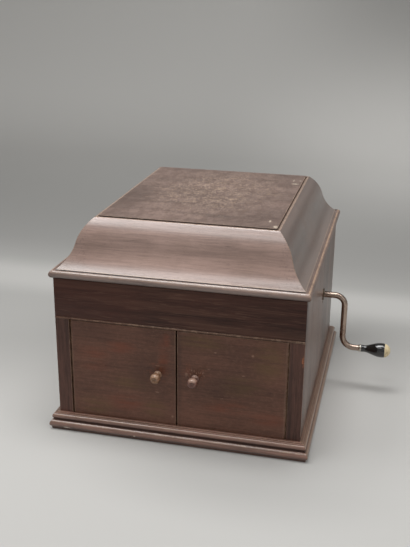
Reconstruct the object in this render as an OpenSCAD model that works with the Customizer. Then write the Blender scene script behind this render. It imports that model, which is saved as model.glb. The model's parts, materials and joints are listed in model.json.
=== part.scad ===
// Table gramophone: a spring motor, a turntable and a folded wooden horn in a cabinet
// with two doors and a hinged ogee lid. Millimetres, +Z up. The origin is the middle of
// the underside, the doors face -Y and the crank is on the +X side.

/* [Cabinet] */
// Width over the side panels
body_w = 430; // [424:1:460]
// Depth over the front frame and the back
body_d = 500; // [494:1:530]
// Height of the top edge above the floor
body_top = 283; // [280:1:296]
// Thickness of the side panels
side_t = 18; // [14:0.5:20]
// Thickness of the back panel
back_t = 12; // [8:0.5:14]
// Thickness of the front frame
frame_t = 22; // [20:0.5:26]
// Width of each front stile
stile_w = 24; // [21:0.5:30]
// Height of the bottom rail
bottom_rail_h = 30; // [27:0.5:32]
// Height of the top rail that hides the motor
top_rail_h = 73; // [66:0.5:80]
// Radius of the bead along the top rail's lower edge
rail_bead_r = 1.8; // [1:0.1:2.4]
// Thickness of the bottom board
bottom_t = 12; // [9:0.5:14]
// Thickness of the board that carries the motor
board_t = 14; // [12:0.5:16]
// Depth of that board's face below the top edge
board_drop = 21; // [19:0.5:23]
// Thickness of the cleats under that board
cleat_h = 12; // [8:0.5:16]
// Width of those cleats
cleat_w = 14; // [10:0.5:16]

/* [Base moulding] */
// Height of the moulding
base_h = 31; // [29:0.5:34]
// Reach of the lower torus beyond the cabinet
base_out = 15.5; // [13.5:0.5:19]
// Radius of the lower torus
base_torus_r = 7; // [6:0.5:8]
// Radius of the upper bead
base_bead_r = 5; // [4.5:0.25:5.5]
// Reach of the upper bead beyond the cabinet
base_bead_out = 11; // [9.5:0.5:12.5]

/* [Lid] */
// Height of the lid from its seat to the arris of its top
lid_h = 95; // [90:0.5:104]
// Height of the bullnosed rim
rim_h = 14; // [11:0.5:16]
// Reach of the rim beyond the cabinet
rim_out = 6; // [4:0.5:9]
// Width of the rim's frame inside the cabinet's face
rim_in = 26; // [24:0.5:30]
// Inset of the ogee's foot
ogee_foot = 4; // [2:0.5:6]
// Inset of the ogee's top arris
ogee_top = 57; // [54:0.5:62]
// Radius of both curves of the ogee
ogee_r = 75; // [66:1:95]
// Thickness of the ogee boards
ogee_t = 15; // [12:0.5:17]
// Width of the arris round the top panel
arris_w = 3; // [2:0.25:5]
// Thickness of the top panel
panel_t = 10; // [8:0.5:12]
// Height of the top panel's face above the ogee's arris
panel_proud = 2; // [1:0.1:3]
// Width of the groove round the top panel
groove_w = 2.2; // [1:0.1:3]
// Depth of that groove
groove_d = 3.5; // [3.25:0.25:5]
// Extra reach of the lid over the back
lid_back_out = 8; // [6:0.5:12]
// Gap between the closed lid and the cabinet
lid_gap = 0.4; // [0.2:0.1:1]
// Radius of the lid hinge's knuckle
hinge_r = 3; // [2.5:0.1:3.5]
// Length of each lid hinge
hinge_len = 50; // [40:1:70]
// Distance of the lid hinges from the middle
hinge_x = 130; // [90:1:150]
// Thickness of the lid hinge's leaves
leaf_t = 1.6; // [1.2:0.1:2]
// Radius of the lid stay about the hinge
stay_r = 150; // [146:1:156]
// Width of the lid stay
stay_w = 11; // [8:0.5:12]
// Thickness of the lid stay
stay_t = 2.5; // [2:0.1:3]
// Opening of the lid that the stay allows, in degrees
lid_open = 65; // [50:1:66]

/* [Doors] */
// Thickness of the doors
door_t = 18; // [16:0.5:20]
// Gap between a door and the frame round it
door_gap = 1.2; // [0.8:0.1:2]
// Gap between the two doors
meeting_gap = 2.4; // [1.5:0.1:4]
// Radius of the pivot pins
pin_r = 2.5; // [2:0.1:3]
// Distance of a pivot pin from the door's face and edge
pin_inset = 6; // [5:0.25:8]
// Reach of a pivot pin into the door
pin_reach = 9; // [6:0.5:12]
// Height of the knobs
knob_z = 125; // [90:0.5:150]
// Distance of the knobs from the middle
knob_x = 32.5; // [24:0.5:60]
// Radius of the knobs
knob_r = 8.7; // [7:0.1:12]
// Reach of the knobs from the door
knob_reach = 25; // [18:0.5:28]

/* [Crank] */
// Distance of the crank's axis behind the middle
crank_y = 35; // [30:0.5:45]
// Height of the crank's axis
crank_z = 189; // [188:0.5:192]
// Diameter of the crank's rod
rod_d = 11.5; // [9:0.25:12]
// Distance from the side panel to the crank's arm
crank_out = 42; // [38:0.5:60]
// Distance from the crank's axis to the grip's axis
crank_throw = 105; // [85:1:120]
// Radius of the upper bend
crank_bend_r = 19; // [14:0.5:24]
// Radius of the lower bend
grip_bend_r = 23; // [14:0.5:26]
// Distance from the crank's arm to the grip
grip_start = 37; // [34:0.5:42]
// Length of the grip with its end cap
grip_len = 56; // [50:0.5:75]
// Radius of the grip's bulb
grip_r = 14.25; // [11:0.25:16]
// Length of the pale end cap
cap_len = 11; // [8:0.5:14]
// Radius of the escutcheon's flange
escutcheon_r = 11.5; // [10.5:0.5:17]

/* [Turntable] */
// Gap between the turntable's rim and the left side panel
platter_side = 19; // [17:0.5:40]
// Height of the turntable's rim
platter_h = 11; // [9:0.5:12]
// Thickness of the turntable's plate
platter_t = 3; // [2.5:0.25:4]
// Gap between the turntable's rim and the board
platter_gap = 8.4; // [7:0.2:9]
// Thickness of the felt
felt_t = 1.2; // [0.8:0.1:2]
// Radius of the spindle
spindle_r = 3.6; // [3:0.1:4]

/* [Tonearm] */
// Distance of the tonearm's pivot from the right side panel
arm_side = 52; // [47:0.5:57]
// Distance of the tonearm's pivot behind the middle
arm_y = 150; // [140:0.5:158]
// Height of the tonearm above the board's face
arm_h = 60; // [58:0.5:62]
// Radius of the tonearm at its bend
arm_r = 13.5; // [12:0.25:14]
// Radius of the tonearm at the sound box
arm_tip_r = 9; // [8:0.25:10]
// Length from the pivot to the gooseneck
arm_len = 222; // [214:1:226]
// Radius of the tonearm's stub in its base
stub_r = 18.9; // [17:0.1:20]
// Wall of the tonearm
arm_wall = 1.6; // [1.2:0.1:2]
// Radius of the sound box
box_r = 27; // [24:0.5:28]
// Depth of the sound box
box_d = 14; // [12:0.5:15]
// Lean of the needle from upright, in degrees
needle_lean = 30; // [20:1:35]

/* [Horn] */
// Thickness of the horn's boards
horn_t = 6; // [4:0.5:7]
// Distance of the horn's mouth from each side panel
mouth_side = 13; // [12:0.5:23]
// Half width of the horn's throat
throat_half = 20; // [18:0.5:24]
// Height of the horn's throat above the floor
throat_z = 75; // [70:1:80]
// Bend radius of the iron elbow
elbow_r = 45; // [40:0.5:50]
// Outer radius of the iron elbow
elbow_tube_r = 22; // [21:0.25:24]
// Wall of the iron elbow
elbow_wall = 4; // [3:0.25:5]

/* [Motor] */
// Distance of the spring barrel to the right of the middle
barrel_x = -12; // [-16:0.5:-8]
// Radius of the spring barrel
barrel_r = 44; // [40:0.5:45]
// Height of the spring barrel
barrel_h = 28; // [24:0.5:28]
// Turns of the mainspring
spring_turns = 9; // [6:1:10]
// Thickness of the mainspring's ribbon
spring_t = 0.8; // [0.6:0.1:1.2]
// Thickness of the cast plates
plate_t = 5; // [4:0.25:6]
// Radius of the frame's pillars
pillar_r = 5; // [4:0.25:7]
// Radius of the gear arbors
arbor_r = 3; // [2.5:0.1:3.5]
// Radius of the winding shaft
winding_r = 5; // [4.5:0.1:5.5]
// Radius of the governor's shaft
governor_r = 2; // [1.6:0.1:2.4]
// Radius of each governor weight
weight_r = 5.5; // [4.5:0.25:6]
// Radius of the governor's friction disc
disc_r = 17; // [14:0.5:18]

/* [Fits] */
// Running clearance of shafts and pins, on the radius
fit = 0.06; // [0.03:0.01:0.1]
// Clearance of parts that move past each other
clear = 0.4; // [0.3:0.05:0.6]

/* [Hidden] */
$fn = 64;
arc_steps = 9;
eps = 0.01;

// Planes of the cabinet
half_w = body_w / 2;
half_d = body_d / 2;
in_w = half_w - side_t;
front_in = -half_d + frame_t;
back_in = half_d - back_t;
opening_top = body_top - top_rail_h;
board_z = body_top - board_drop;
board_under = board_z - board_t;

// Planes of the lid
lid_seat = body_top + lid_gap;
rim_top = lid_seat + rim_h;
lid_top = lid_seat + lid_h;
panel_inset = ogee_top + arris_w;
panel_top = lid_top + panel_proud;
ledge_z = panel_top - panel_t;
lid_d = body_d + lid_back_out;
lid_mid_y = lid_back_out / 2;
hinge_gap = 0.4;
hinge_y = half_d + hinge_r + hinge_gap;
hinge_z = lid_seat + leaf_t / 2 - hinge_r / 2;
hinge_pin_r = hinge_r * 0.42;
stay_x = -half_w + rim_in;

// Gears: each has its teeth, module and a tooth cut a little thin for free running
barrel_teeth = 96;
barrel_mod = 1;
inter_pinion_teeth = 12;
inter_teeth = 60;
inter_mod = 0.8;
spindle_teeth = 15;
crown_teeth = 60;
crown_mod = 1;
crank_teeth = 16;
worm_wheel_teeth = 45;
worm_starts = 3;
worm_mod = 0.9;
worm_r = 7;
tooth_share = 0.40;
addendum = 0.85;
dedendum = 1.15;
flank = 20;
barrel_to_inter = -93.5;
inter_to_spindle = -119.5;

// Centres of the arbors, from the crank's axis through the train to the spindle
barrel_c = [barrel_x, crank_y];
inter_c = barrel_c
    + (barrel_teeth + inter_pinion_teeth) * barrel_mod / 2 * [cos(barrel_to_inter), sin(barrel_to_inter)];
spindle_c = inter_c
    + (inter_teeth + spindle_teeth) * inter_mod / 2 * [cos(inter_to_spindle), sin(inter_to_spindle)];

// Heights in the motor
plate_under = board_under - 4 - plate_t;
frame_z = plate_under - 105;
frame_top = frame_z + plate_t;
barrel_z = frame_top + 4;
barrel_gear_h = 5;
barrel_top = barrel_z + barrel_h;
crown_r = crown_teeth * crown_mod / 2;
crank_pinion_r = crank_teeth * crown_mod / 2;
crown_tip_z = crank_z - crank_pinion_r + addendum * crown_mod;
crown_root_z = crank_z - crank_pinion_r - dedendum * crown_mod;
crown_w = 3;
inter_wheel_z = crank_z - 2;
inter_wheel_h = 3;
governor_z = plate_under - 21;
governor_y = spindle_c[1] - worm_wheel_teeth * worm_mod / 2 - worm_r;
frame_left = -80;
frame_right = 72;
plate_right = 96;
ear_half = 14;
frame_front = -100;
frame_back = 90;
pillar_inset = 8;
pedestal_t = 8;
pedestal_a = 42;
pedestal_b = 62;
ratchet_x = 54;
ratchet_t = 4;
ratchet_r = 12;
ratchet_teeth = 12;

// Turntable's radius and heights
platter_r = in_w + spindle_c[0] - platter_side;
rim_low = board_z + platter_gap;
platter_top = rim_low + platter_h;
felt_top = platter_top + felt_t;

// Tonearm and sound box
arm_x = in_w - arm_side;
arm_z = board_z + arm_h;
arm_bend_r = 28;
neck_bend_r = 12;
neck_y = arm_y - arm_len;
box_y = neck_y - neck_bend_r - clear;
box_back_x = arm_x - neck_bend_r;
box_face_x = box_back_x - box_d;
needle_reach = (arm_z - felt_top - 1.5) / cos(needle_lean);
stylus_x = box_face_x - 2;

// Horn
mouth_half = in_w - mouth_side;
mouth_y = front_in + clear;
throat_y = arm_y - elbow_r - 6;
mouth_low = bottom_rail_h + 2;
mouth_high = opening_top - 4;
horn_steps = 14;

// Points of an arc about c from angle a to angle b; first = 1 leaves out its first point
function arc(c, r, a, b, n = arc_steps, first = 0) =
    [for (i = [first:n]) c + r * [cos(a + (b - a) * i / n), sin(a + (b - a) * i / n)]];

// Point of a quadratic curve through three control points, and its unit normal
function bend(p, t) =
    (1 - t) * (1 - t) * p[0] + 2 * t * (1 - t) * p[1] + t * t * p[2];
function bend_normal(p, t) =
    let (v = (1 - t) * (p[1] - p[0]) + t * (p[2] - p[1])) [-v[1], v[0]] / norm(v);

// The curve moved sideways by d, run on a little at both ends
function bend_points(p, d = 0, n = horn_steps, over = 0.06) =
    [for (i = [0:n]) let (t = -over + (1 + 2 * over) * i / n) bend(p, t) + d * bend_normal(p, t)];

// Centre of the circle of radius r through p and q, on the left of the way from p to q
function arc_centre(p, q, r) =
    let (chord = q - p, half = norm(chord) / 2, side = [-chord[1], chord[0]] / norm(chord))
    (p + q) / 2 + side * sqrt(r * r - half * half);

function angle_of(v) = atan2(v[1], v[0]);
function reversed(list) = [for (i = [len(list) - 1:-1:0]) list[i]];
function column(list, k) = [for (p = list) p[k]];

// Outline of a gear with straight flanks, first tooth on +X
function gear_points(teeth, mod) =
    let (pitch_r = teeth * mod / 2, half = PI * mod * tooth_share / 2,
         tip = half - addendum * mod * tan(flank), root = half + dedendum * mod * tan(flank),
         tip_r = pitch_r + addendum * mod, root_r = pitch_r - dedendum * mod,
         tip_a = tip / tip_r * 180 / PI, root_a = root / pitch_r * 180 / PI,
         corners = [[root_r, -root_a], [tip_r, -tip_a], [tip_r, tip_a], [root_r, root_a]])
    [for (i = [0:teeth - 1], k = corners)
        let (a = i * 360 / teeth + k[1]) k[0] * [cos(a), sin(a)]];

// Base moulding, [reach, height]: fillet, bead, undercut cove and torus
bead_c = [base_bead_out - base_bead_r, base_h - 2 - base_bead_r];
torus_c = [base_out - base_torus_r, base_torus_r + 3];
base_profile = concat(
    [[0, 0], [0, base_h], [bead_c[0] - 1, base_h], [bead_c[0] - 1, base_h - 1.6]],
    arc(bead_c, base_bead_r, 84, -48),
    arc(torus_c, base_torus_r, 78, -55),
    [[torus_c[0] + base_torus_r * cos(55) - 1, 0]]
);

// Lid rim, [reach, height]: a flat frame with a half-round edge
rim_profile = concat(
    [[-rim_in, rim_top], [-rim_in, lid_seat]],
    arc([rim_out - rim_h / 2, lid_seat + rim_h / 2], rim_h / 2, -90, 90, 12)
);

// Ogee board, [reach, height]: two equal arcs outside, hollow at the foot and round at the
// shoulder, the same two arcs at the board's thickness inside, and a ledge for the top panel
ogee_a = [-ogee_foot, rim_top];
ogee_b = [-ogee_top, lid_top];
ogee_m = (ogee_a + ogee_b) / 2;
hollow_c = arc_centre(ogee_m, ogee_a, ogee_r);
round_c = arc_centre(ogee_m, ogee_b, ogee_r);
hollow_in = ogee_r + ogee_t;
round_in = ogee_r - ogee_t;
ledge_x = round_c[0] + sqrt(pow(round_in, 2) - pow(ledge_z - round_c[1], 2));
foot_x = hollow_c[0] - sqrt(pow(hollow_in, 2) - pow(rim_top - hollow_c[1], 2));
turn_a = angle_of(ogee_m - hollow_c);
turn_b = angle_of(ogee_m - round_c);
ogee_profile = concat(
    arc(hollow_c, ogee_r, angle_of(ogee_a - hollow_c), turn_a),
    arc(round_c, ogee_r, turn_b, angle_of(ogee_b - round_c), first = 1),
    [[-panel_inset, lid_top], [-panel_inset, ledge_z]],
    arc(round_c, round_in, angle_of([ledge_x, ledge_z] - round_c), turn_b),
    arc(hollow_c, hollow_in, turn_a, angle_of([foot_x, rim_top] - hollow_c), first = 1)
);

// One length of moulding along X, mitred at both ends; reach points to -Y from y = 0
module mitred_run(length, profile) {
    out = max(column(profile, 0)) + 1;
    in = min(column(profile, 0)) - 1;
    low = min(column(profile, 1)) - 1;
    high = max(column(profile, 1)) + 1;
    half = length / 2;
    intersection() {
        translate([-half - out, 0, 0])
            rotate([90, 0, 90])
                linear_extrude(length + 2 * out)
                    polygon([for (p = profile) [-p[0], p[1]]]);
        translate([0, 0, low])
            linear_extrude(high - low)
                polygon([[-half - out, -out], [half + out, -out], [half + in, -in], [-half - in, -in]]);
    }
}

// Puts a run on the front (0), right (1), back (2) or left (3) of a w by d plan
module on_side(side, w, d, mid_y = 0) {
    translate([0, mid_y, 0])
        rotate(90 * side)
            translate([0, side % 2 == 0 ? -d / 2 : -w / 2, 0])
                children();
}

// Both the piece and its mirror image across the middle of the cabinet
module both_sides() {
    children();
    mirror([1, 0, 0]) children();
}

// A profile in [y, z], extruded along X
module along_x(x, length, points) {
    translate([x, 0, 0])
        rotate([90, 0, 90])
            linear_extrude(length)
                polygon(points);
}

// A cylinder along X
module x_rod(x, length, r, at) {
    translate([x, at[0], at[1]])
        rotate([0, 90, 0])
            cylinder(r = r, h = length);
}

// A gear, one of its teeth towards the angle given
module gear(teeth, mod, height, angle = 0) {
    rotate(angle)
        linear_extrude(height)
            polygon(gear_points(teeth, mod));
}

module at(c, z) {
    translate([c[0], c[1], z]) children();
}

// Colours
dark_wood = [0.23, 0.14, 0.11];
lid_wood = [0.36, 0.25, 0.20];
pale_wood = [0.62, 0.47, 0.32];
iron = [0.16, 0.17, 0.17];
steel = [0.62, 0.62, 0.60];
nickel = [0.74, 0.71, 0.64];
brass = [0.72, 0.57, 0.30];
black = [0.05, 0.05, 0.05];
cream = [0.80, 0.73, 0.58];
green_felt = [0.20, 0.30, 0.20];
mica = [0.80, 0.76, 0.62];

// Cabinet

module bottom_board() {
    color(dark_wood)
        translate([-in_w, front_in, 0])
            cube([2 * in_w, back_in - front_in, bottom_t]);
}

module side_panel() {
    translate([in_w, front_in, 0])
        cube([side_t, half_d - front_in, body_top]);
}

module left_side_panel() {
    color(dark_wood)
        mirror([1, 0, 0])
            side_panel();
}

liner_r = rod_d / 2 + 3;

module right_side_panel() {
    color(dark_wood)
        difference() {
            side_panel();
            x_rod(in_w - 1, side_t + 2, liner_r, [crank_y, crank_z]);
        }
}

module back_panel() {
    color(dark_wood)
        translate([-in_w, back_in, 0])
            cube([2 * in_w, back_t, body_top]);
}

door_x = half_w - stile_w - door_gap;
pin_x = door_x - pin_inset;
door_face = -half_d + 0.5;
pin_y = door_face + pin_inset;
door_low = bottom_rail_h + door_gap;
door_high = opening_top - door_gap;

module pin_bores(r, reach) {
    both_sides()
        for (z = [door_low, door_high])
            translate([pin_x, pin_y, z - reach])
                cylinder(r = r, h = 2 * reach);
}

quirk = 0.8;
bead_at = [-half_d + rail_bead_r * 0.3, opening_top + rail_bead_r];
rail_profile = concat(
    [[front_in, opening_top], [front_in, body_top], [-half_d, body_top]],
    [for (k = [[0, quirk], [quirk, quirk], [quirk, 0]])
        [-half_d + k[0], opening_top + 2 * rail_bead_r + k[1]]],
    arc(bead_at, rail_bead_r, 90, 270)
);

module front_top_rail() {
    color(dark_wood)
        difference() {
            along_x(-half_w, body_w, rail_profile);
            pin_bores(pin_r, pin_reach);
        }
}

module front_stiles() {
    color(dark_wood)
        both_sides()
            translate([half_w - stile_w, -half_d, 0])
                cube([stile_w, frame_t, opening_top]);
}

module front_bottom_rail() {
    color(dark_wood)
        difference() {
            translate([-half_w + stile_w, -half_d, 0])
                cube([body_w - 2 * stile_w, frame_t, bottom_rail_h]);
            pin_bores(pin_r, pin_reach);
        }
}

module base_moulding_front() {
    color(lid_wood)
        on_side(0, body_w, body_d)
            mitred_run(body_w, base_profile);
}

module base_moulding_sides() {
    color(lid_wood)
        for (side = [1, 3])
            on_side(side, body_w, body_d)
                mitred_run(body_d, base_profile);
}

module base_moulding_back() {
    color(lid_wood)
        on_side(2, body_w, body_d)
            mitred_run(body_w, base_profile);
}

// Where the lid stay passes the board and its guide, as a distance from the hinge's axis
function stay_pass(r, z) = hinge_y - sqrt(r * r - pow(hinge_z - z, 2));
stay_front = stay_pass(stay_r + stay_w / 2, board_z);
stay_back = stay_pass(stay_r - stay_w / 2, board_under - cleat_h);
guide_y = stay_front - 10;
guide_d = stay_back - stay_front + 20;
cleat_end = 34;

module motor_board_cleats() {
    z = board_under - cleat_h;
    long_d = back_in - front_in - 2 * cleat_end;
    color(pale_wood) {
        translate([in_w - cleat_w, front_in + cleat_end, z])
            cube([cleat_w, long_d, cleat_h]);
        translate([-in_w, front_in + cleat_end, z])
            cube([cleat_w, guide_y - 2 - front_in - cleat_end, cleat_h]);
        for (y = [front_in, back_in - cleat_w])
            translate([-in_w + cleat_end, y, z])
                cube([2 * (in_w - cleat_end), cleat_w, cleat_h]);
    }
}

board_side_gap = 0.5;
cup_at = [[-in_w + 75, back_in - 70], [-in_w + 135, back_in - 46]];
cup_r = 20;
spigot_r = stub_r + 2;
knob_shaft_r = 3;
brake_c = spindle_c + [platter_r + 22, -30];
brake_pin_r = 2.5;
cam_r = 7;
cam_throw = 2;
lever_w = 8;
lever_c = [84, governor_y + 24];
speed_x = lever_c[0] + lever_w / 2 + cam_r + clear;
speed_off = platter_r + 25.7;
speed_c = [speed_x, spindle_c[1] - sqrt(pow(speed_off, 2) - pow(speed_x - spindle_c[0], 2))];

module motor_board() {
    w = in_w - board_side_gap;
    color(lid_wood)
        difference() {
            translate([-w, front_in + board_side_gap, board_under])
                cube([2 * w, back_in - front_in - 2 * board_side_gap, board_t]);
            at(spindle_c, board_under - 1) cylinder(r = 12, h = board_t + 2);
            at([arm_x, arm_y], board_under - 1) cylinder(r = spigot_r, h = board_t + 2);
            at(speed_c, board_under - 1) cylinder(r = knob_shaft_r + fit, h = board_t + 2);
            at(brake_c, board_under - 1) cylinder(r = brake_pin_r + fit, h = board_t + 2);
            for (c = cup_at)
                at(c, board_under - 1) cylinder(r = cup_r, h = board_t + 2);
            translate([stay_x - 1.5, stay_front - 2, board_under - 1])
                cube([stay_t + 3, stay_back - stay_front + 4, board_t + 2]);
        }
}

// Horn: each wall follows one curve, the top and bottom seen from the side as [y, z] and
// the two sides seen from above as [x, y]
horn_top = [[mouth_y, mouth_high], [mouth_y + 68, throat_z + throat_half],
    [throat_y, throat_z + throat_half]];
horn_low = [[mouth_y, mouth_low], [mouth_y + 128, mouth_low - 9],
    [throat_y, throat_z - throat_half]];
horn_left = [[-mouth_half, mouth_y], [arm_x - throat_half, mouth_y + 112],
    [arm_x - throat_half, throat_y]];
horn_right = [[mouth_half, mouth_y], [arm_x + throat_half + 6, mouth_y + 120],
    [arm_x + throat_half, throat_y]];

// The space between two such curves, for walls and for the air inside them
module side_view(a, b) {
    along_x(-half_w, body_w, concat(a, reversed(b)));
}

module plan_view(a, b) {
    linear_extrude(body_top)
        polygon(concat(a, reversed(b)));
}

module horn_length() {
    translate([-in_w, mouth_y, 0])
        cube([2 * in_w, throat_y - mouth_y, body_top]);
}

module horn_plan_outside() {
    plan_view(bend_points(horn_left, horn_t), bend_points(horn_right, -horn_t));
}

module horn_top_board() {
    color(pale_wood)
        intersection() {
            side_view(bend_points(horn_top), bend_points(horn_top, horn_t));
            horn_plan_outside();
            horn_length();
        }
}

module horn_bottom_board() {
    color(pale_wood)
        intersection() {
            side_view(bend_points(horn_low), bend_points(horn_low, -horn_t));
            horn_plan_outside();
            horn_length();
        }
}

module horn_side_boards() {
    color(pale_wood) {
        intersection() {
            plan_view(bend_points(horn_left), bend_points(horn_left, horn_t));
            side_view(bend_points(horn_top), bend_points(horn_low));
            horn_length();
        }
        intersection() {
            plan_view(bend_points(horn_right), bend_points(horn_right, -horn_t));
            side_view(bend_points(horn_top), bend_points(horn_low));
            horn_length();
        }
    }
}

elbow_flange_t = 6;
elbow_flange = 2 * (throat_half + horn_t);
elbow_top_t = 5;

// The elbow's way: in along +Y, round and up, at a radius of r
module elbow_way(r, over) {
    z = throat_z + elbow_r;
    y = throat_y + elbow_flange_t;
    translate([arm_x, throat_y - over, throat_z])
        rotate([-90, 0, 0])
            cylinder(r = r, h = elbow_flange_t + over);
    translate([arm_x, y, z])
        rotate([0, 90, 0])
            rotate_extrude(angle = 90)
                translate([elbow_r, 0])
                    circle(r = r);
    translate([arm_x, arm_y, z])
        cylinder(r = r, h = board_under - z + over);
}

module horn_elbow() {
    color(iron)
        difference() {
            union() {
                elbow_way(elbow_tube_r, 0);
                translate([arm_x - elbow_flange / 2, throat_y, throat_z - elbow_flange / 2])
                    cube([elbow_flange, elbow_flange_t, elbow_flange]);
                at([arm_x, arm_y], board_under - elbow_top_t)
                    cylinder(r = elbow_tube_r + 10, h = elbow_top_t);
            }
            elbow_way(elbow_tube_r - elbow_wall, 1);
        }
}

escutcheon_t = 2.5;
nut_t = 3;

module crank_escutcheon() {
    color(iron)
        difference() {
            union() {
                x_rod(half_w, escutcheon_t, escutcheon_r, [crank_y, crank_z]);
                x_rod(in_w - nut_t, side_t + nut_t, liner_r, [crank_y, crank_z]);
                x_rod(in_w - nut_t, nut_t, liner_r + 4, [crank_y, crank_z]);
            }
            x_rod(in_w - nut_t - 1, side_t + nut_t + escutcheon_t + 2, rod_d / 2 + fit,
                [crank_y, crank_z]);
        }
}

collar_h = 22;
seat_h = 4;
base_flange_t = 5;

module tonearm_base() {
    color(nickel)
        at([arm_x, arm_y], 0)
            difference() {
                union() {
                    translate([0, 0, board_z]) cylinder(r = spigot_r + 10, h = base_flange_t);
                    translate([0, 0, board_z]) cylinder(r = stub_r + 5, h = collar_h);
                    translate([0, 0, board_under]) cylinder(r = spigot_r, h = board_t + 1);
                }
                translate([0, 0, board_under - 1])
                    cylinder(r = elbow_tube_r - elbow_wall, h = board_t + collar_h);
                translate([0, 0, board_z + seat_h])
                    cylinder(r = stub_r + fit, h = collar_h);
            }
}

cup_wall = 1.2;

module needle_cups() {
    inside = cup_r - cup_wall;
    color(nickel)
        for (c = cup_at)
            at(c, board_z)
                rotate_extrude()
                    polygon(concat(
                        [[0, -board_t + 2], [cup_r, -board_t + 2], [cup_r, 0], [cup_r + 4, 0],
                         [cup_r + 4, 1], [cup_r + 3, 2], [inside, 2]],
                        arc([inside - 6, -board_t + 2 + cup_wall + 6], 6, 0, -90, 6),
                        [[0, -board_t + 2 + cup_wall]]
                    ));
}

// Motor

plate_top = plate_under + plate_t;
pillar_at = [for (x = [frame_left + pillar_inset, frame_right - pillar_inset],
    y = [frame_front + pillar_inset, frame_back - pillar_inset]) [x, y]];
boss_at = [[-62, -70], [64, 62], [-62, 72]];
governor_lugs = [-15, 84];
lug_t = 4;
governor_from = spindle_c[0] + governor_lugs[0];
governor_to = spindle_c[0] + governor_lugs[1] + lug_t;

module motor_plate() {
    color(iron)
        difference() {
            union() {
                translate([frame_left, frame_front, plate_under])
                    cube([frame_right - frame_left, frame_back - frame_front, plate_t]);
                translate([frame_right - 1, lever_c[1] - ear_half, plate_under])
                    cube([plate_right - frame_right + 1, 2 * ear_half, plate_t]);
                for (c = boss_at)
                    at(c, plate_under) cylinder(r = 9, h = board_under - plate_under);
                for (x = governor_lugs)
                    translate([spindle_c[0] + x, governor_y - 5, governor_z - 6])
                        cube([lug_t, 10, plate_under - governor_z + 7]);
                at(lever_c, governor_z - 4) cylinder(r = 2.5, h = plate_under - governor_z + 5);
            }
            at(spindle_c, plate_under - 1) cylinder(r = spindle_r + fit, h = plate_t + 2);
            at(inter_c, plate_under - 1) cylinder(r = arbor_r + fit, h = plate_t + 2);
            at(barrel_c, plate_under - 1) cylinder(r = arbor_r + fit, h = plate_t + 2);
            x_rod(governor_from - 1, governor_to - governor_from + 2, governor_r + fit,
                [governor_y, governor_z]);
        }
}

pawl_pin = [17, 8];
pawl_pin_r = 2;

// A post that carries the winding shaft
module pedestal(x) {
    translate([x, crank_y - winding_r - 2, frame_top - 1])
        cube([pedestal_t, 2 * winding_r + 4, crank_z - frame_top + 1]);
    x_rod(x, pedestal_t, winding_r + 4, [crank_y, crank_z]);
}

module motor_frame() {
    color(iron)
        difference() {
            union() {
                translate([frame_left, frame_front, frame_z])
                    cube([frame_right - frame_left, frame_back - frame_front, plate_t]);
                for (c = pillar_at)
                    at(c, frame_z) cylinder(r = pillar_r, h = plate_under - frame_z);
                pedestal(pedestal_a);
                pedestal(pedestal_b);
                translate([pedestal_a, crank_y, crank_z + pawl_pin[1] - 5])
                    cube([pedestal_t, pawl_pin[0] + 4, 9]);
                x_rod(pedestal_a, pedestal_b - pedestal_a - clear, pawl_pin_r,
                    [crank_y + pawl_pin[0], crank_z + pawl_pin[1]]);
            }
            at(spindle_c, frame_z - 1) cylinder(r = spindle_r + fit, h = plate_t + 2);
            at(inter_c, frame_z - 1) cylinder(r = arbor_r + fit, h = plate_t + 2);
            at(barrel_c, frame_z - 1) cylinder(r = arbor_r + fit, h = plate_t + 2);
            x_rod(pedestal_a - 1, pedestal_b + pedestal_t - pedestal_a + 2, winding_r + fit,
                [crank_y, crank_z]);
            for (c = [[44, -34], [-58, -20], [-58, 34]])
                at(c, frame_z - 1) cylinder(r = 13, h = plate_t + 2);
        }
}

module door_pivot_pins() {
    color(brass)
        pin_bores(pin_r, pin_reach);
}

// Hinge of the lid: two outer knuckles on the cabinet, one middle knuckle on the lid
hinge_leaf_h = 20;
hinge_leaf_d = 26;
knuckle_share = 0.25;
outer_len = hinge_len * knuckle_share;
middle_len = hinge_len - 2 * outer_len - 0.6;

module at_hinges() {
    for (x = [-hinge_x, hinge_x])
        translate([x, 0, 0])
            children();
}

module lid_hinge_lower_leaves() {
    color(brass)
        at_hinges()
            for (x = [-hinge_len / 2, hinge_len / 2 - outer_len])
                difference() {
                    union() {
                        x_rod(x, outer_len, hinge_r, [hinge_y, hinge_z]);
                        translate([x, half_d, hinge_z - hinge_leaf_h])
                            cube([outer_len, leaf_t, hinge_leaf_h - hinge_r / 2]);
                        translate([-hinge_len / 2, half_d, hinge_z - hinge_leaf_h])
                            cube([hinge_len, leaf_t, hinge_leaf_h - hinge_r - 1]);
                    }
                    x_rod(x - 1, outer_len + 2, hinge_pin_r + fit, [hinge_y, hinge_z]);
                }
}

// The lid stay's arc in the [y, z] plane about the hinge, from the rim down into the cabinet
stay_from = 180 - asin((rim_top - 1 - hinge_z) / stay_r);
stay_to = 197 + lid_open;

module stay_arc(grow, from, to) {
    translate([stay_x - grow, hinge_y, hinge_z])
        rotate([90, 0, 90])
            rotate(from)
                rotate_extrude(angle = to - from)
                    translate([stay_r - stay_w / 2 - grow, 0])
                        square([stay_w + 2 * grow, stay_t + 2 * grow]);
}

module lid_stay_guide() {
    color(brass)
        difference() {
            translate([-in_w, guide_y, board_under - cleat_h])
                cube([stay_x + stay_t + 5 + in_w, guide_d, cleat_h]);
            stay_arc(clear, 185, 215);
        }
}

// Doors

door_ease = 1;
left_door_points = concat(
    [[-meeting_gap / 2, door_face + door_t], [-door_x, door_face + door_t]],
    arc([-pin_x, pin_y], pin_inset, 180, 270, 8),
    [[-meeting_gap / 2 - door_ease, door_face], [-meeting_gap / 2, door_face + door_ease]]
);

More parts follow.
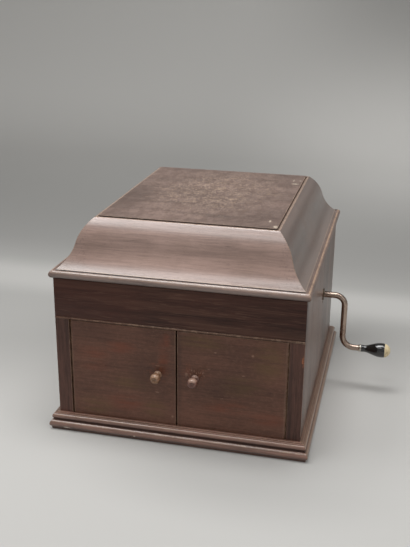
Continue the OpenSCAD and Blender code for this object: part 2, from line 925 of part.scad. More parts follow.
module door() {
    difference() {
        translate([0, 0, door_low])
            linear_extrude(door_high - door_low)
                polygon(left_door_points);
        pin_bores(pin_r + fit, pin_reach + clear);
    }
}

module left_door() {
    color(dark_wood) door();
}

module right_door() {
    color(dark_wood)
        mirror([1, 0, 0])
            door();
}

// A turned knob: foot, neck and a rounded head with a shallow dimple
module knob(x) {
    head_from = knob_reach * 0.45;
    translate([x, door_face, knob_z])
        rotate([90, 0, 0])
            rotate_extrude()
                polygon(concat(
                    [[0, 0], [knob_r * 0.78, 0], [knob_r * 0.78, 1.5]],
                    [for (i = [0:5]) bend([[knob_r * 0.6, 2.5], [knob_r * 0.42, 5],
                        [knob_r * 0.55, head_from]], i / 5)],
                    arc([knob_r * 0.52, (head_from + knob_reach) / 2 + 0.5],
                        knob_r * 0.48, -70, 90, 8),
                    [[knob_r * 0.3, knob_reach - 1.2], [0, knob_reach - 2]]
                ));
}

module left_door_knob() {
    color(pale_wood) knob(-knob_x);
}

module right_door_knob() {
    color(pale_wood) knob(knob_x);
}

// Lid

module lid_rim() {
    color(lid_wood)
        difference() {
            union()
                for (side = [0:3])
                    on_side(side, body_w, lid_d, lid_mid_y)
                        mitred_run(side % 2 == 0 ? body_w : lid_d, rim_profile);
            at_hinges() {
                x_rod(-hinge_len / 2 - clear, hinge_len + 2 * clear, hinge_r + clear,
                    [hinge_y, hinge_z]);
                translate([-hinge_len / 2, hinge_y - hinge_leaf_d, lid_seat - 1])
                    cube([hinge_len, hinge_leaf_d, leaf_t + 1]);
            }
        }
}

module ogee_board(side) {
    color(lid_wood)
        on_side(side, body_w, lid_d, lid_mid_y)
            mitred_run(side % 2 == 0 ? body_w : lid_d, ogee_profile);
}

module lid_front_board() {
    ogee_board(0);
}

module lid_right_board() {
    ogee_board(1);
}

module lid_back_board() {
    ogee_board(2);
}

module lid_left_board() {
    ogee_board(3);
}

module lid_top_panel() {
    w = body_w - 2 * panel_inset;
    d = lid_d - 2 * panel_inset;
    low_t = panel_t - groove_d;
    color(lid_wood) {
        translate([-w / 2, lid_mid_y - d / 2, ledge_z])
            cube([w, d, low_t]);
        translate([-w / 2 + groove_w, lid_mid_y - d / 2 + groove_w, ledge_z + low_t])
            cube([w - 2 * groove_w, d - 2 * groove_w, groove_d]);
    }
}

module lid_hinge_upper_leaves() {
    color(brass)
        at_hinges() {
            x_rod(-middle_len / 2, middle_len, hinge_r, [hinge_y, hinge_z]);
            x_rod(-hinge_len / 2, hinge_len, hinge_pin_r, [hinge_y, hinge_z]);
            translate([-hinge_len / 2, hinge_y - hinge_leaf_d, lid_seat])
                cube([hinge_len, hinge_leaf_d - hinge_r - 1, leaf_t]);
            translate([-middle_len / 2, hinge_y - hinge_leaf_d, lid_seat])
                cube([middle_len, hinge_leaf_d - 1, leaf_t]);
        }
}

module lid_stay() {
    color(brass)
        stay_arc(0, stay_from, stay_to);
}

// Crank

rod_r = rod_d / 2;
arm_at = half_w + crank_out;
grip_z = crank_z - crank_throw;
grip_x = arm_at + grip_start;
rod_in = in_w - 32;
grip_pin_r = 3.2;
grip_pin_len = grip_len - cap_len - 6;
ferrule_t = 5;

// A quarter bend of the rod in the [x, z] plane
module rod_bend(x, z, r, turn) {
    translate([x, crank_y, z])
        rotate([0, -90, -90])
            rotate(turn)
                rotate_extrude(angle = 90)
                    translate([r, 0])
                        circle(r = rod_r);
}

module crank_rod() {
    color(nickel) {
        x_rod(rod_in, arm_at - crank_bend_r - rod_in, rod_r, [crank_y, crank_z]);
        rod_bend(arm_at - crank_bend_r, crank_z - crank_bend_r, crank_bend_r, 0);
        translate([arm_at, crank_y, grip_z + grip_bend_r])
            cylinder(r = rod_r, h = crank_throw - crank_bend_r - grip_bend_r);
        rod_bend(arm_at + grip_bend_r, grip_z + grip_bend_r, grip_bend_r, 180);
        x_rod(arm_at + grip_bend_r, grip_start - grip_bend_r, rod_r, [crank_y, grip_z]);
        x_rod(grip_x - ferrule_t, ferrule_t, grip_r * 0.5, [crank_y, grip_z]);
        x_rod(grip_x - ferrule_t + 1.5, 2, grip_r * 0.56, [crank_y, grip_z]);
        x_rod(grip_x, grip_pin_len, grip_pin_r, [crank_y, grip_z]);
    }
}

socket_len = 40;
socket_x = in_w - 47;
pinion_w = 9;
pinion_x = barrel_x + crown_r - pinion_w / 2;
ratchet_points = [for (i = [0:ratchet_teeth - 1], k = [0, 1])
    let (a = (i + 0.2 * k) * 360 / ratchet_teeth) (ratchet_r - 3 * k) * [cos(a), sin(a)]];

module winding_shaft() {
    color(steel)
        difference() {
            union() {
                x_rod(socket_x, socket_len, rod_r + 3.25, [crank_y, crank_z]);
                x_rod(pinion_x, socket_x - pinion_x + 1, winding_r, [crank_y, crank_z]);
                translate([pinion_x, crank_y, crank_z])
                    rotate([90, 0, 90])
                        gear(crank_teeth, crown_mod, pinion_w, 180 / crank_teeth);
                translate([ratchet_x, crank_y, crank_z])
                    rotate([90, 0, 90])
                        linear_extrude(ratchet_t)
                            polygon(ratchet_points);
            }
            x_rod(rod_in, socket_len, rod_r, [crank_y, crank_z]);
        }
}

// Outline of the grip, [distance, radius], from its foot to the bulb and the end cap
grip_black = grip_len - cap_len;
grip_neck = [[0, grip_r * 0.49], [grip_black * 0.18, grip_r * 0.38], [grip_black * 0.36, grip_r * 0.62]];
grip_bulb = [grip_neck[2], [grip_black * 0.62, grip_r * 0.96], [grip_black * 0.8, grip_r]];
grip_end = [grip_bulb[2], [grip_black * 0.9, grip_r * 1.02], [grip_black, grip_r * 0.93]];

function curve(p, n, first = 0) = [for (i = [first:n]) bend(p, i / n)];

// A revolve about the grip's axis; points are [distance, radius]
module along_grip(points) {
    translate([grip_x + clear, crank_y, grip_z])
        rotate([0, 90, 0])
            rotate_extrude()
                polygon([for (p = points) [p[1], p[0]]]);
}

module crank_grip() {
    color(black)
        difference() {
            along_grip(concat([[0, 0]], curve(grip_neck, 6), curve(grip_bulb, 6, 1),
                curve(grip_end, 6, 1), [[grip_black, 0]]));
            x_rod(grip_x - 1, grip_pin_len + 2, grip_pin_r + fit, [crank_y, grip_z]);
        }
}

module grip_end_cap() {
    color(cream)
        along_grip(concat([[grip_black, 0]],
            curve([grip_end[2], [grip_len, grip_r * 0.76], [grip_len, 0]], 8)));
}

module winding_wheel() {
    half = PI * crown_mod * tooth_share / 2;
    tip = half - addendum * crown_mod * tan(flank);
    root = half + dedendum * crown_mod * tan(flank);
    color(brass)
        at(barrel_c, 0) {
            translate([0, 0, frame_z]) cylinder(r = arbor_r, h = plate_top - frame_z);
            translate([0, 0, barrel_z + 2.5]) cylinder(r = 8, h = barrel_h - 5);
            translate([0, 0, crown_root_z - 4]) cylinder(r = crown_r + 2.5, h = 4);
            translate([0, 0, barrel_top + clear]) cylinder(r = 7, h = crown_root_z - barrel_top);
            for (i = [0:crown_teeth - 1])
                rotate(i * 360 / crown_teeth)
                    along_x(crown_r - crown_w / 2, crown_w, [[-root, crown_root_z - 0.5],
                        [root, crown_root_z - 0.5], [tip, crown_tip_z], [-tip, crown_tip_z]]);
        }
}

module winding_pawl() {
    color(steel)
        translate([ratchet_x, crank_y, crank_z])
            difference() {
                rotate([90, 0, 90])
                    linear_extrude(ratchet_t)
                        polygon([[9, 9.2], [10.5, 12.5], [pawl_pin[0], pawl_pin[1] + 4],
                            [pawl_pin[0] + 4, pawl_pin[1]], [pawl_pin[0], pawl_pin[1] - 4]]);
                x_rod(-1, ratchet_t + 2, pawl_pin_r + fit, pawl_pin);
            }
}

barrel_wall = 2;
gear_gap = 0.5;

module spring_barrel() {
    color(steel)
        difference() {
            at(barrel_c, barrel_z) {
                cylinder(r = barrel_r, h = barrel_h);
                gear(barrel_teeth, barrel_mod, barrel_gear_h, barrel_to_inter);
            }
            at(barrel_c, barrel_z + barrel_wall)
                cylinder(r = barrel_r - barrel_wall, h = barrel_h - 2 * barrel_wall);
            at(barrel_c, barrel_z - 1)
                cylinder(r = arbor_r + fit, h = barrel_h + 2);
        }
}

// Mainspring: one flat ribbon, wound from the arbor's hub to the barrel's wall
spring_in = 8 + clear + spring_t;
spring_out = barrel_r - barrel_wall - clear - spring_t / 2;
spring_steps = 24;
spring_gap = (spring_out - spring_in) / spring_turns - spring_t;
echo("least gap between the mainspring's turns", spring_gap);

function spring_points(side) = [for (i = [0:spring_turns * spring_steps])
    let (a = i * 360 / spring_steps,
         r = spring_in + (spring_out - spring_in) * i / (spring_turns * spring_steps))
    (r + side * spring_t / 2) * [cos(a), sin(a)]];

module mainspring() {
    color(steel)
        at(barrel_c, barrel_z + barrel_wall + clear)
            linear_extrude(barrel_h - 2 * barrel_wall - 2 * clear)
                polygon(concat(spring_points(1), reversed(spring_points(-1))));
}

module intermediate_gear() {
    color(brass)
        at(inter_c, 0) {
            translate([0, 0, frame_z]) cylinder(r = arbor_r, h = plate_top - frame_z);
            translate([0, 0, barrel_z - gear_gap])
                gear(inter_pinion_teeth, barrel_mod, barrel_gear_h + 2 * gear_gap,
                    barrel_to_inter + 180 + 180 / inter_pinion_teeth);
            translate([0, 0, inter_wheel_z])
                gear(inter_teeth, inter_mod, inter_wheel_h, inter_to_spindle);
        }
}

// Turntable and spindle

hub_r = 14;
hub_h = platter_h;

module turntable() {
    color(nickel)
        at(spindle_c, 0)
            rotate_extrude()
                polygon([
                    [spindle_r, platter_top], [platter_r - 1, platter_top], [platter_r, platter_top - 1],
                    [platter_r, rim_low], [platter_r - 3, rim_low],
                    [platter_r - 3, platter_top - platter_t], [hub_r, platter_top - platter_t],
                    [hub_r - 1, platter_top - hub_h], [spindle_r, platter_top - hub_h]
                ]);
}

module turntable_felt() {
    color(green_felt)
        at(spindle_c, platter_top)
            difference() {
                cylinder(r = platter_r - 1.5, h = felt_t);
                translate([0, 0, -1]) cylinder(r = spindle_r + 2, h = felt_t + 2);
            }
}

spindle_up = 8;

module spindle() {
    color(steel)
        at(spindle_c, 0) {
            translate([0, 0, frame_z]) cylinder(r = spindle_r, h = felt_top + spindle_up - frame_z);
            translate([0, 0, felt_top + spindle_up])
                cylinder(r1 = spindle_r, r2 = spindle_r * 0.4, h = 3);
            translate([0, 0, inter_wheel_z - gear_gap])
                gear(spindle_teeth, inter_mod, inter_wheel_h + 2 * gear_gap,
                    inter_to_spindle + 180 + 180 / spindle_teeth);
            translate([0, 0, governor_z - 5]) cylinder(r = 9, h = 10);
            translate([0, 0, governor_z - 1]) gear(worm_wheel_teeth, worm_mod, 2, -90);
            translate([0, 0, platter_top - hub_h - 4]) cylinder(r = 8, h = 4);
        }
}

// Governor

worm_len = 16;
lead = PI * worm_mod * worm_starts;
worm_half = worm_mod * PI * 0.32 / 2;
worm_tip = (worm_half - addendum * worm_mod * tan(flank)) / lead * 360;
worm_root = (worm_half + dedendum * worm_mod * tan(flank)) / lead * 360;
worm_tip_r = worm_r + addendum * worm_mod;
worm_root_r = worm_r - dedendum * worm_mod;
worm_points = [for (i = [0:worm_starts - 1], k = [[worm_root_r, -worm_root],
    [worm_tip_r, -worm_tip], [worm_tip_r, worm_tip], [worm_root_r, worm_root],
    [worm_root_r, 180 / worm_starts]])
    let (a = i * 360 / worm_starts + k[1]) k[0] * [cos(a), sin(a)]];
worm_twist = 360 * worm_len / lead;
collar_flat = 6;
collar_len = 6;
collar_a = 16;
collar_b = 62;
disc_t = 3;

// A collar with six flats, for the springs to lie on
module governor_collar(x) {
    translate([x, 0, 0])
        rotate([0, 90, 0])
            rotate(30)
                cylinder(r = collar_flat / cos(30), h = collar_len, $fn = 6);
}

module governor_shaft() {
    color(steel)
        translate([spindle_c[0], governor_y, governor_z]) {
            x_rod(governor_lugs[0] - 1, governor_lugs[1] + lug_t + 2 - governor_lugs[0], governor_r, [0, 0]);
            translate([-worm_len / 2, 0, 0])
                rotate([0, 90, 0])
                    rotate(90 + 180 / worm_starts - worm_twist / 2)
                        linear_extrude(worm_len, twist = -worm_twist, slices = 40, segments = 15)
                            polygon(worm_points);
            governor_collar(collar_a);
            governor_collar(collar_b);
            x_rod(collar_b + collar_len, disc_t, disc_r, [0, 0]);
        }
}

leaf_spring_t = 0.6;
leaf_spring_w = 5;
weight_out = 12;
weight_x = (collar_a + collar_len + collar_b) / 2;

// One leaf spring with its weight, bowed out from the flats of the two collars
module governor_weight() {
    low = [[collar_a, collar_flat], [collar_a + collar_len, collar_flat],
        [weight_x - 5, weight_out], [weight_x + 5, weight_out],
        [collar_b, collar_flat], [collar_b + collar_len, collar_flat]];
    high = [for (p = low) p + [0, leaf_spring_t]];
    translate([0, -leaf_spring_w / 2, 0])
        rotate([90, 0, 0])
            translate([0, 0, -leaf_spring_w])
                linear_extrude(leaf_spring_w)
                    polygon(concat(low, reversed(high)));
    translate([weight_x, 0, weight_out]) sphere(r = weight_r);
}

module governor_weights() {
    color(brass)
        translate([spindle_c[0], governor_y, governor_z])
            for (a = [0, 120, 240])
                rotate([a, 0, 0])
                    governor_weight();
}

pad_x = spindle_c[0] + collar_b + collar_len + disc_t + clear;
pad_y = governor_y + 9;

module friction_lever() {
    color(steel)
        difference() {
            union() {
                at(lever_c, governor_z - 2) cylinder(r = 6, h = 4);
                translate([lever_c[0] - lever_w / 2, speed_c[1] - 6, governor_z - 2])
                    cube([lever_w, lever_c[1] - speed_c[1] + 6, 4]);
                at(lever_c, governor_z - 2)
                    linear_extrude(4)
                        polygon([[0, -4], [pad_x + 4 - lever_c[0], pad_y - 4 - lever_c[1]],
                            [pad_x + 4 - lever_c[0], pad_y + 4 - lever_c[1]], [0, 4]]);
                x_rod(pad_x, 5, 3.5, [pad_y, governor_z]);
            }
            at(lever_c, governor_z - 3) cylinder(r = 2.5 + fit, h = 6);
        }
}

speed_knob_r = 11;

module speed_knob() {
    color(nickel)
        at(speed_c, 0) {
            translate([0, cam_throw, governor_z - 3]) cylinder(r = cam_r, h = 6);
            translate([0, 0, governor_z + 3]) cylinder(r = knob_shaft_r, h = board_z + 2 - governor_z - 3);
            translate([0, 0, board_z + clear]) cylinder(r = speed_knob_r + 2, h = 1.2);
            translate([0, 0, board_z + clear + 1.2]) cylinder(r = 6, h = 2);
            translate([0, 0, board_z + clear + 3.2])
                cylinder(r1 = speed_knob_r, r2 = speed_knob_r - 1.5, h = 6);
        }
}

shoe_c = spindle_c + (platter_r + clear + 5) * [cos(-5), sin(-5)];
brake_end = brake_c + [32, -23];
brake_bar_z = board_z + 3;
brake_bar_t = 3;

// A flat bar with round ends from p to q
module flat_bar(p, q, w, z, t) {
    run = q - p;
    at(p, z)
        rotate(angle_of(run)) {
            translate([0, -w * 0.45, 0]) cube([norm(run), w * 0.9, t]);
            cylinder(r = w / 2, h = t);
            translate([norm(run), 0, 0]) cylinder(r = w / 2, h = t);
        }
}

module brake_lever() {
    color(nickel) {
        flat_bar(brake_c, shoe_c, 9, brake_bar_z, brake_bar_t);
        flat_bar(brake_c, brake_end, 7, brake_bar_z, brake_bar_t);
        at(brake_c, board_under + 1) cylinder(r = brake_pin_r, h = board_t + 4);
        at(brake_c, board_z + clear) cylinder(r = 6, h = 8);
        at(shoe_c, brake_bar_z + 1) cylinder(r = 5, h = platter_top - brake_bar_z - 2);
        at(brake_end, brake_bar_z + 1) cylinder(r1 = 3, r2 = 4.5, h = 9);
    }
}

// Tonearm

arm_bend_z = arm_z - arm_bend_r;
shoulder_h = 7;

// The tonearm's outside (inset 0) or its bore (inset by the wall)
module arm_form(inset, over) {
    stub_z = board_z + seat_h + clear;
    shoulder_z = board_z + collar_h + 2;
    neck_z = shoulder_z + shoulder_h;
    r = arm_r - inset;
    taper_len = arm_len - arm_bend_r;
    at([arm_x, arm_y], 0) {
        translate([0, 0, stub_z - over]) cylinder(r = stub_r - inset, h = shoulder_z - stub_z + over);
        translate([0, 0, shoulder_z]) cylinder(r1 = stub_r - inset, r2 = r, h = shoulder_h);
        translate([0, 0, neck_z]) cylinder(r = r, h = arm_bend_z - neck_z);
    }
    translate([arm_x, arm_y - arm_bend_r, arm_bend_z])
        rotate([90, 0, 90])
            rotate_extrude(angle = 90)
                translate([arm_bend_r, 0])
                    circle(r = r);
    translate([arm_x, arm_y - arm_bend_r, arm_z])
        rotate([90, 0, 0])
            cylinder(r1 = r, r2 = arm_tip_r - inset, h = taper_len);
    if (over > 0)
        translate([arm_x, neck_y + neck_grip, arm_z])
            rotate([90, 0, 0])
                cylinder(r = arm_tip_r - inset, h = neck_grip + over);
}

neck_grip = 14;

module tonearm() {
    color(nickel)
        difference() {
            arm_form(0, 0);
            arm_form(arm_wall, 1);
        }
}

neck_bore_r = arm_tip_r - 2 * arm_wall;
neck_from = neck_y - clear;

module neck_form(r, over) {
    translate([arm_x, neck_y + neck_grip - 2 + over, arm_z])
        rotate([90, 0, 0])
            cylinder(r = r, h = neck_grip - 2 + clear + over);
    translate([arm_x - neck_bend_r, neck_from, arm_z])
        rotate(-90)
            rotate_extrude(angle = 90)
                translate([neck_bend_r, 0])
                    circle(r = r);
}

module gooseneck() {
    color(nickel)
        difference() {
            union() {
                neck_form(arm_tip_r - arm_wall - fit, 0);
                translate([arm_x, neck_from, arm_z])
                    rotate([90, 0, 0])
                        cylinder(r = arm_tip_r + 0.6, h = 3);
            }
            neck_form(neck_bore_r, 1);
        }
}

// The sound box leans with its needle; in its own frame depth runs from the back to the
// face along -X, and the needle points down
module in_box() {
    translate([box_back_x, box_y, arm_z])
        rotate([-needle_lean, 0, 0])
            children();
}

module box_disc(depth, h, r) {
    in_box()
        translate([-depth, 0, 0])
            rotate([0, -90, 0])
                cylinder(r = r, h = h);
}

film_at = box_d - 4;
film_t = 0.5;
film_r = box_r - 3.8;

module sound_box() {
    color(nickel)
        difference() {
            union() {
                box_disc(0, 5, arm_tip_r + 3);
                box_disc(3, 3, box_r - 5);
                box_disc(5, box_d - 5, box_r);
                in_box()
                    translate([-box_d - 3, -4, -box_r - 1])
                        cube([4, 8, 6]);
            }
            box_disc(-1, box_d, neck_bore_r);
            box_disc(6, film_at - 6 + eps, film_r - 1.5);
            box_disc(film_at, film_t, film_r);
            box_disc(film_at + film_t - eps, box_d, film_r - 1.5);
            in_box()
                translate([-box_d - 3.1, -holder_w / 2 - clear, -box_r - 2])
                    cube([3.2, holder_w + 2 * clear, 8]);
        }
}

holder_w = 4;
holder_low = box_r + 8;
screw_z = box_r + 4;

module diaphragm() {
    color(mica)
        box_disc(film_at, film_t, film_r);
}

needle_r = 0.8;
bar_x = -box_d - 3;

module stylus_bar() {
    color(steel)
        in_box()
            difference() {
                union() {
                    translate([bar_x, -1, -box_r + 2]) cube([2, 2, box_r - 2]);
                    translate([bar_x, -holder_w / 2, -holder_low])
                        cube([holder_w - 1, holder_w, holder_low - box_r + 3]);
                    x_rod(bar_x + 1, -film_at - film_t - bar_x - 1, 1.2, [0, 0]);
                    translate([bar_x, 0, 0]) rotate([0, 90, 0]) cylinder(r = 2, h = 2);
                }
                translate([stylus_x - box_back_x + 0.5, 0, -holder_low - 1])
                    cylinder(r = needle_r, h = 8);
                x_rod(bar_x - 1, 3, screw_r + fit, [0, -screw_z]);
            }
}

screw_r = 1.1;

module needle() {
    top = -holder_low + 7;
    color(steel)
        in_box()
            translate([stylus_x - box_back_x + 0.5, 0, 0]) {
                translate([0, 0, -needle_reach + 4]) cylinder(r = needle_r, h = top + needle_reach - 4);
                translate([0, 0, -needle_reach]) cylinder(r1 = 0.15, r2 = needle_r, h = 4);
            }
}

module needle_screw() {
    color(brass)
        in_box() {
            x_rod(bar_x - 4, 4, screw_r, [0, -screw_z]);
            x_rod(bar_x - 7, 3, 3.2, [0, -screw_z]);
        }
}

bottom_board();
left_side_panel();
right_side_panel();
back_panel();
front_top_rail();
front_stiles();
front_bottom_rail();
base_moulding_front();
base_moulding_sides();
base_moulding_back();
motor_board_cleats();
motor_board();
horn_top_board();
horn_bottom_board();
horn_side_boards();
horn_elbow();
crank_escutcheon();
tonearm_base();
needle_cups();
motor_plate();
motor_frame();
door_pivot_pins();
lid_hinge_lower_leaves();
lid_stay_guide();
left_door();
right_door();
left_door_knob();
right_door_knob();
lid_rim();
lid_front_board();
lid_back_board();
lid_left_board();
lid_right_board();
lid_top_panel();
lid_hinge_upper_leaves();
lid_stay();
crank_rod();
winding_shaft();
crank_grip();
grip_end_cap();
winding_wheel();
winding_pawl();
spring_barrel();
mainspring();
intermediate_gear();
turntable();
turntable_felt();
spindle();
governor_shaft();
governor_weights();
friction_lever();
speed_knob();
brake_lever();
tonearm();
gooseneck();
sound_box();
diaphragm();
stylus_bar();
needle();
needle_screw();
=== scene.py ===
import json
import math

import bmesh
import bpy
from bpy.props import FloatProperty, FloatVectorProperty, PointerProperty
from mathutils import Matrix, Vector


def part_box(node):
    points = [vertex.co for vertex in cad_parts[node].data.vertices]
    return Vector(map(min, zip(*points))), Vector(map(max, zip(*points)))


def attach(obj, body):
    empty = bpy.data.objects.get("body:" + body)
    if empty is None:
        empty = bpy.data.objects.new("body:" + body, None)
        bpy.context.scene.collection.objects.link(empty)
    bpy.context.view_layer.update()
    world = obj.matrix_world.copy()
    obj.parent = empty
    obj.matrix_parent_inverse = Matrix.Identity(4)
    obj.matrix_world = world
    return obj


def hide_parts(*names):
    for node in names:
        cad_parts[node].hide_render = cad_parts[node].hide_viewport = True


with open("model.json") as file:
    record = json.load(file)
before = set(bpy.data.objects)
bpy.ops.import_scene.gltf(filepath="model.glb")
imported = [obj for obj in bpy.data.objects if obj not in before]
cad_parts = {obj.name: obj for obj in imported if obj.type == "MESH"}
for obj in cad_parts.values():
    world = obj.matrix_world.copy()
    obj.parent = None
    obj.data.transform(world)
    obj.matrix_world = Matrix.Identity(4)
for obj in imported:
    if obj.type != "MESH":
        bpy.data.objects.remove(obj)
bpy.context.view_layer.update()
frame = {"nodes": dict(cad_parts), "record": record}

bl_info = {
    "name": "Table gramophone",
    "version": (1, 0),
    "blender": (4, 5, 0),
    "location": "3D View > Sidebar > Gramophone",
    "description": "Dresses the table gramophone's frame in worn mahogany and sets up its studio",
    "category": "Object",
}

NODES = frame["nodes"]
RECORD = frame["record"]
BODY_OF = {node: body for body, nodes in RECORD["behaviour"]["bodies"].items() for node in nodes}


# Sizes that the pieces share, in metres; their angles are in radians

HALF_W = 0.215
HALF_D = 0.250
BODY_TOP = 0.283
OPENING_TOP = 0.210
RAIL_BACK = -0.228
RAIL_BEAD_R = 0.0018
STILE_INNER = 0.191
DOOR_PLAY = 0.0005

LID_SEAT = 0.2834
RIM_R = 0.007
RIM_TOP = 0.2974
LID_TOP = 0.3784
PANEL_TOP = 0.3804
LID_D = 0.508
LID_MID_Y = 0.004
PANEL_INSET = 0.060
OGEE_FOOT = -0.004
OGEE_ARRIS = -0.057
OGEE_R = 0.075
OGEE_T = 0.015

HINGE_X = 0.130
HINGE_Y = 0.2534
HINGE_Z = 0.2827

DOOR_X = 0.1898
DOOR_FACE = -0.2495
KNOB_X = 0.0325
KNOB_Z = 0.125
KNOB_R = 0.0087
KNOB_REACH = 0.0238

CRANK_Y = 0.035
CRANK_Z = 0.189
GRIP_Z = 0.084
ARM_AT = 0.257
ARM_BEND = 0.019
GRIP_BEND = 0.023
GRIP_AT = 0.294
ROD_R = 0.00575

WELD = 1e-6
SHARP_ANGLE = math.radians(28)
FLAT_ANGLE = math.radians(0.4)


def linear(*screen):
    """A tone written in screen values from 0 to 255, as linear light with alpha."""
    light = [((c / 255 + 0.055) / 1.055) ** 2.4 if c > 10 else c / 255 / 12.92 for c in screen]
    return tuple(light) + (1.0,)


# What a user would change

def tint(name, description, *screen):
    """A setting for a tone."""
    return FloatVectorProperty(name=name, description=description, subtype="COLOR", size=3,
                               min=0, max=1, default=linear(*screen)[:3])


class WoodSettings(bpy.types.PropertyGroup):
    """Tones and finish of the cabinet's wood."""
    case_tone: tint("Case", "Mid tone of the case and the apron", 62, 37, 30)
    door_tone: tint("Doors", "Mid tone of the doors", 98, 66, 53)
    lid_tone: tint("Lid", "Mid tone of the lid and the mouldings", 122, 102, 94)
    worn_tone: tint("Worn wood", "Tone of the wood where the varnish has gone", 186, 156, 132)
    varnish: FloatProperty(name="Varnish roughness", description="Roughness of the sound varnish",
                           subtype="FACTOR", min=0, max=1, default=0.34)


class MetalSettings(bpy.types.PropertyGroup):
    """Tones of the metal pieces."""
    nickel_tone: tint("Nickel", "Tone of the old nickel plate", 202, 192, 174)
    brass_tone: tint("Brass", "Tone of the tarnished brass", 156, 126, 84)
    steel_tone: tint("Steel", "Tone of the machined steel", 170, 170, 168)


def power(name, description, default):
    """A setting for the power of a light."""
    return FloatProperty(name=name, description=description, unit="POWER", min=0, default=default)


class StageSettings(bpy.types.PropertyGroup):
    """The floor, the lights and the camera."""
    floor_tone: tint("Floor", "Tone of the floor and backdrop", 184, 183, 180)
    key_power: power("Key light", "Power of each of the three soft lights overhead", 16)
    strip_power: power("Strip light", "Power of the long light that draws the highlights", 8.8)
    fill_power: power("Fill light", "Power of the light from the right", 4)
    room: FloatProperty(name="Room light", description="Strength of the even light of the room",
                        min=0, default=0.36)
    lens: FloatProperty(name="Lens", description="Focal length on a 36 mm frame", unit="CAMERA",
                        min=10, default=55.53)


# Shader maths as Python expressions

class Wire:
    """A socket that takes part in expressions: each operator adds its Math node."""

    def __init__(self, finish, socket):
        self.finish = finish
        self.socket = socket

    def __add__(self, other):
        return self.finish.maths("ADD", self, other)

    __radd__ = __add__

    def __sub__(self, other):
        return self.finish.maths("SUBTRACT", self, other)

    def __rsub__(self, other):
        return self.finish.maths("SUBTRACT", other, self)

    def __mul__(self, other):
        return self.finish.maths("MULTIPLY", self, other)

    __rmul__ = __mul__


class Finish:
    """One material: base and rough are built up step by step, and done() feeds its shader."""

    def __init__(self, name, **uniform):
        self.material = bpy.data.materials.new(name)
        self.material.use_nodes = True
        self.nodes = self.material.node_tree.nodes
        self.links = self.material.node_tree.links
        self.shader = self.nodes["Principled BSDF"]
        self.point = self.node("TexCoord", None, None, "Object")
        self.base = None
        self.rough = None
        for key, value in uniform.items():
            self.shader.inputs[key.replace("_", " ")].default_value = value

    def node(self, kind, settings=None, inputs=None, output=0):
        """Any node: its settings first, then the values or links of its sockets."""
        made = self.nodes.new("ShaderNode" + kind)
        for key, value in (settings or {}).items():
            setattr(made, key, value)
        for key, value in (inputs or {}).items():
            self.feed(made.inputs[key], value)
        return Wire(self, made.outputs[output])

    def feed(self, socket, value):
        """Links a wire to a socket, or sets the socket's own value."""
        if isinstance(value, Wire):
            self.links.new(value.socket, socket)
        else:
            socket.default_value = value

    def maths(self, operation, *values):
        return self.node("Math", {"operation": operation}, dict(enumerate(values)))

    def most(self, a, b):
        return self.maths("MAXIMUM", a, b)

    def size(self, value):
        return self.maths("ABSOLUTE", value)

    def clamp(self, value):
        return self.node("Clamp", None, {"Value": value})

    def fade(self, value, low, high):
        """0 below low and 1 above high, smooth between; it falls where high is below low."""
        return self.node("MapRange", {"interpolation_type": "SMOOTHSTEP"},
                         {"Value": value, "From Min": low, "From Max": high})

    def mix(self, share, a, b):
        settings = {"data_type": "RGBA", "blend_type": "MIX", "clamp_factor": True}
        return self.node("Mix", settings, {0: share, 6: a, 7: b}, 2)

    def cover(self, share, colour):
        """Lays a colour over the base."""
        self.base = self.mix(share, self.base, colour)

    def lay(self, share, *screen):
        """Lays a tone in screen values over the base."""
        self.cover(share, linear(*screen))

    def axes(self):
        """The surface's point in the model's own frame, as x, y and z."""
        made = self.node("SeparateXYZ", None, {0: self.point})
        return [Wire(self, s) for s in made.socket.node.outputs]

    def stretched(self, scale, offset=(0, 0, 0)):
        return self.node("Mapping", None,
                         {"Vector": self.point, "Scale": scale, "Location": offset})

    def noise(self, scale, detail=3, rough=0.55, warp=0.0, offset=(0, 0, 0)):
        """Noise over the surface's point; three scales stretch it along the axes."""
        point = self.point
        if isinstance(scale, tuple):
            point, scale = self.stretched(scale, offset), 1.0
        return self.node("TexNoise", None, {"Vector": point, "Scale": scale, "Detail": detail,
                                             "Roughness": rough, "Distortion": warp})

    def spots(self, places):
        """1 at the middle of each place, fading to 0 at its rim; a place is its centre and its
        half sizes."""
        whole = None
        for centre, half in places:
            away = self.stretched(tuple(1 / h for h in half),
                                  tuple(-c / h for c, h in zip(centre, half)))
            reach = self.node("VectorMath", {"operation": "LENGTH"}, {0: away}, "Value")
            one = self.fade(reach, 1.0, 0.15)
            whole = self.most(whole, one) if whole else one
        return whole

    def front_spots(self, *places):
        """Spots on the front, each given as x, z and its two half sizes in millimetres."""
        return self.spots([((x / 1000, -HALF_D, z / 1000), (a / 1000, 0.02, b / 1000))
                           for x, z, a, b in places])

    def top_spots(self, *places):
        """Spots on the top panel, each given as x, y and its two half sizes in metres."""
        return self.spots([((x, y, PANEL_TOP), (a, b, 0.01)) for x, y, a, b in places])

    def worn(self):
        """The edge mark of a face, from the mesh: above 0 the face is rubbed and worn, partly a
        painted highlight; below 0 it is painted shade.
        """
        return self.node("Attribute", {"attribute_name": "edge"}, None, "Fac")

    def done(self, height=None, strength=0, distance=0):
        """Feeds the shader's sockets and gives the material back."""
        self.feed(self.shader.inputs["Base Color"], self.base)
        self.feed(self.shader.inputs["Roughness"], self.rough)
        if height:
            self.feed(self.shader.inputs["Normal"], self.node("Bump", None, {
                "Height": height, "Strength": strength, "Distance": distance}))
        return self.material


def tone(colour, factor):
    return tuple(c * factor for c in colour[:3]) + (1.0,)


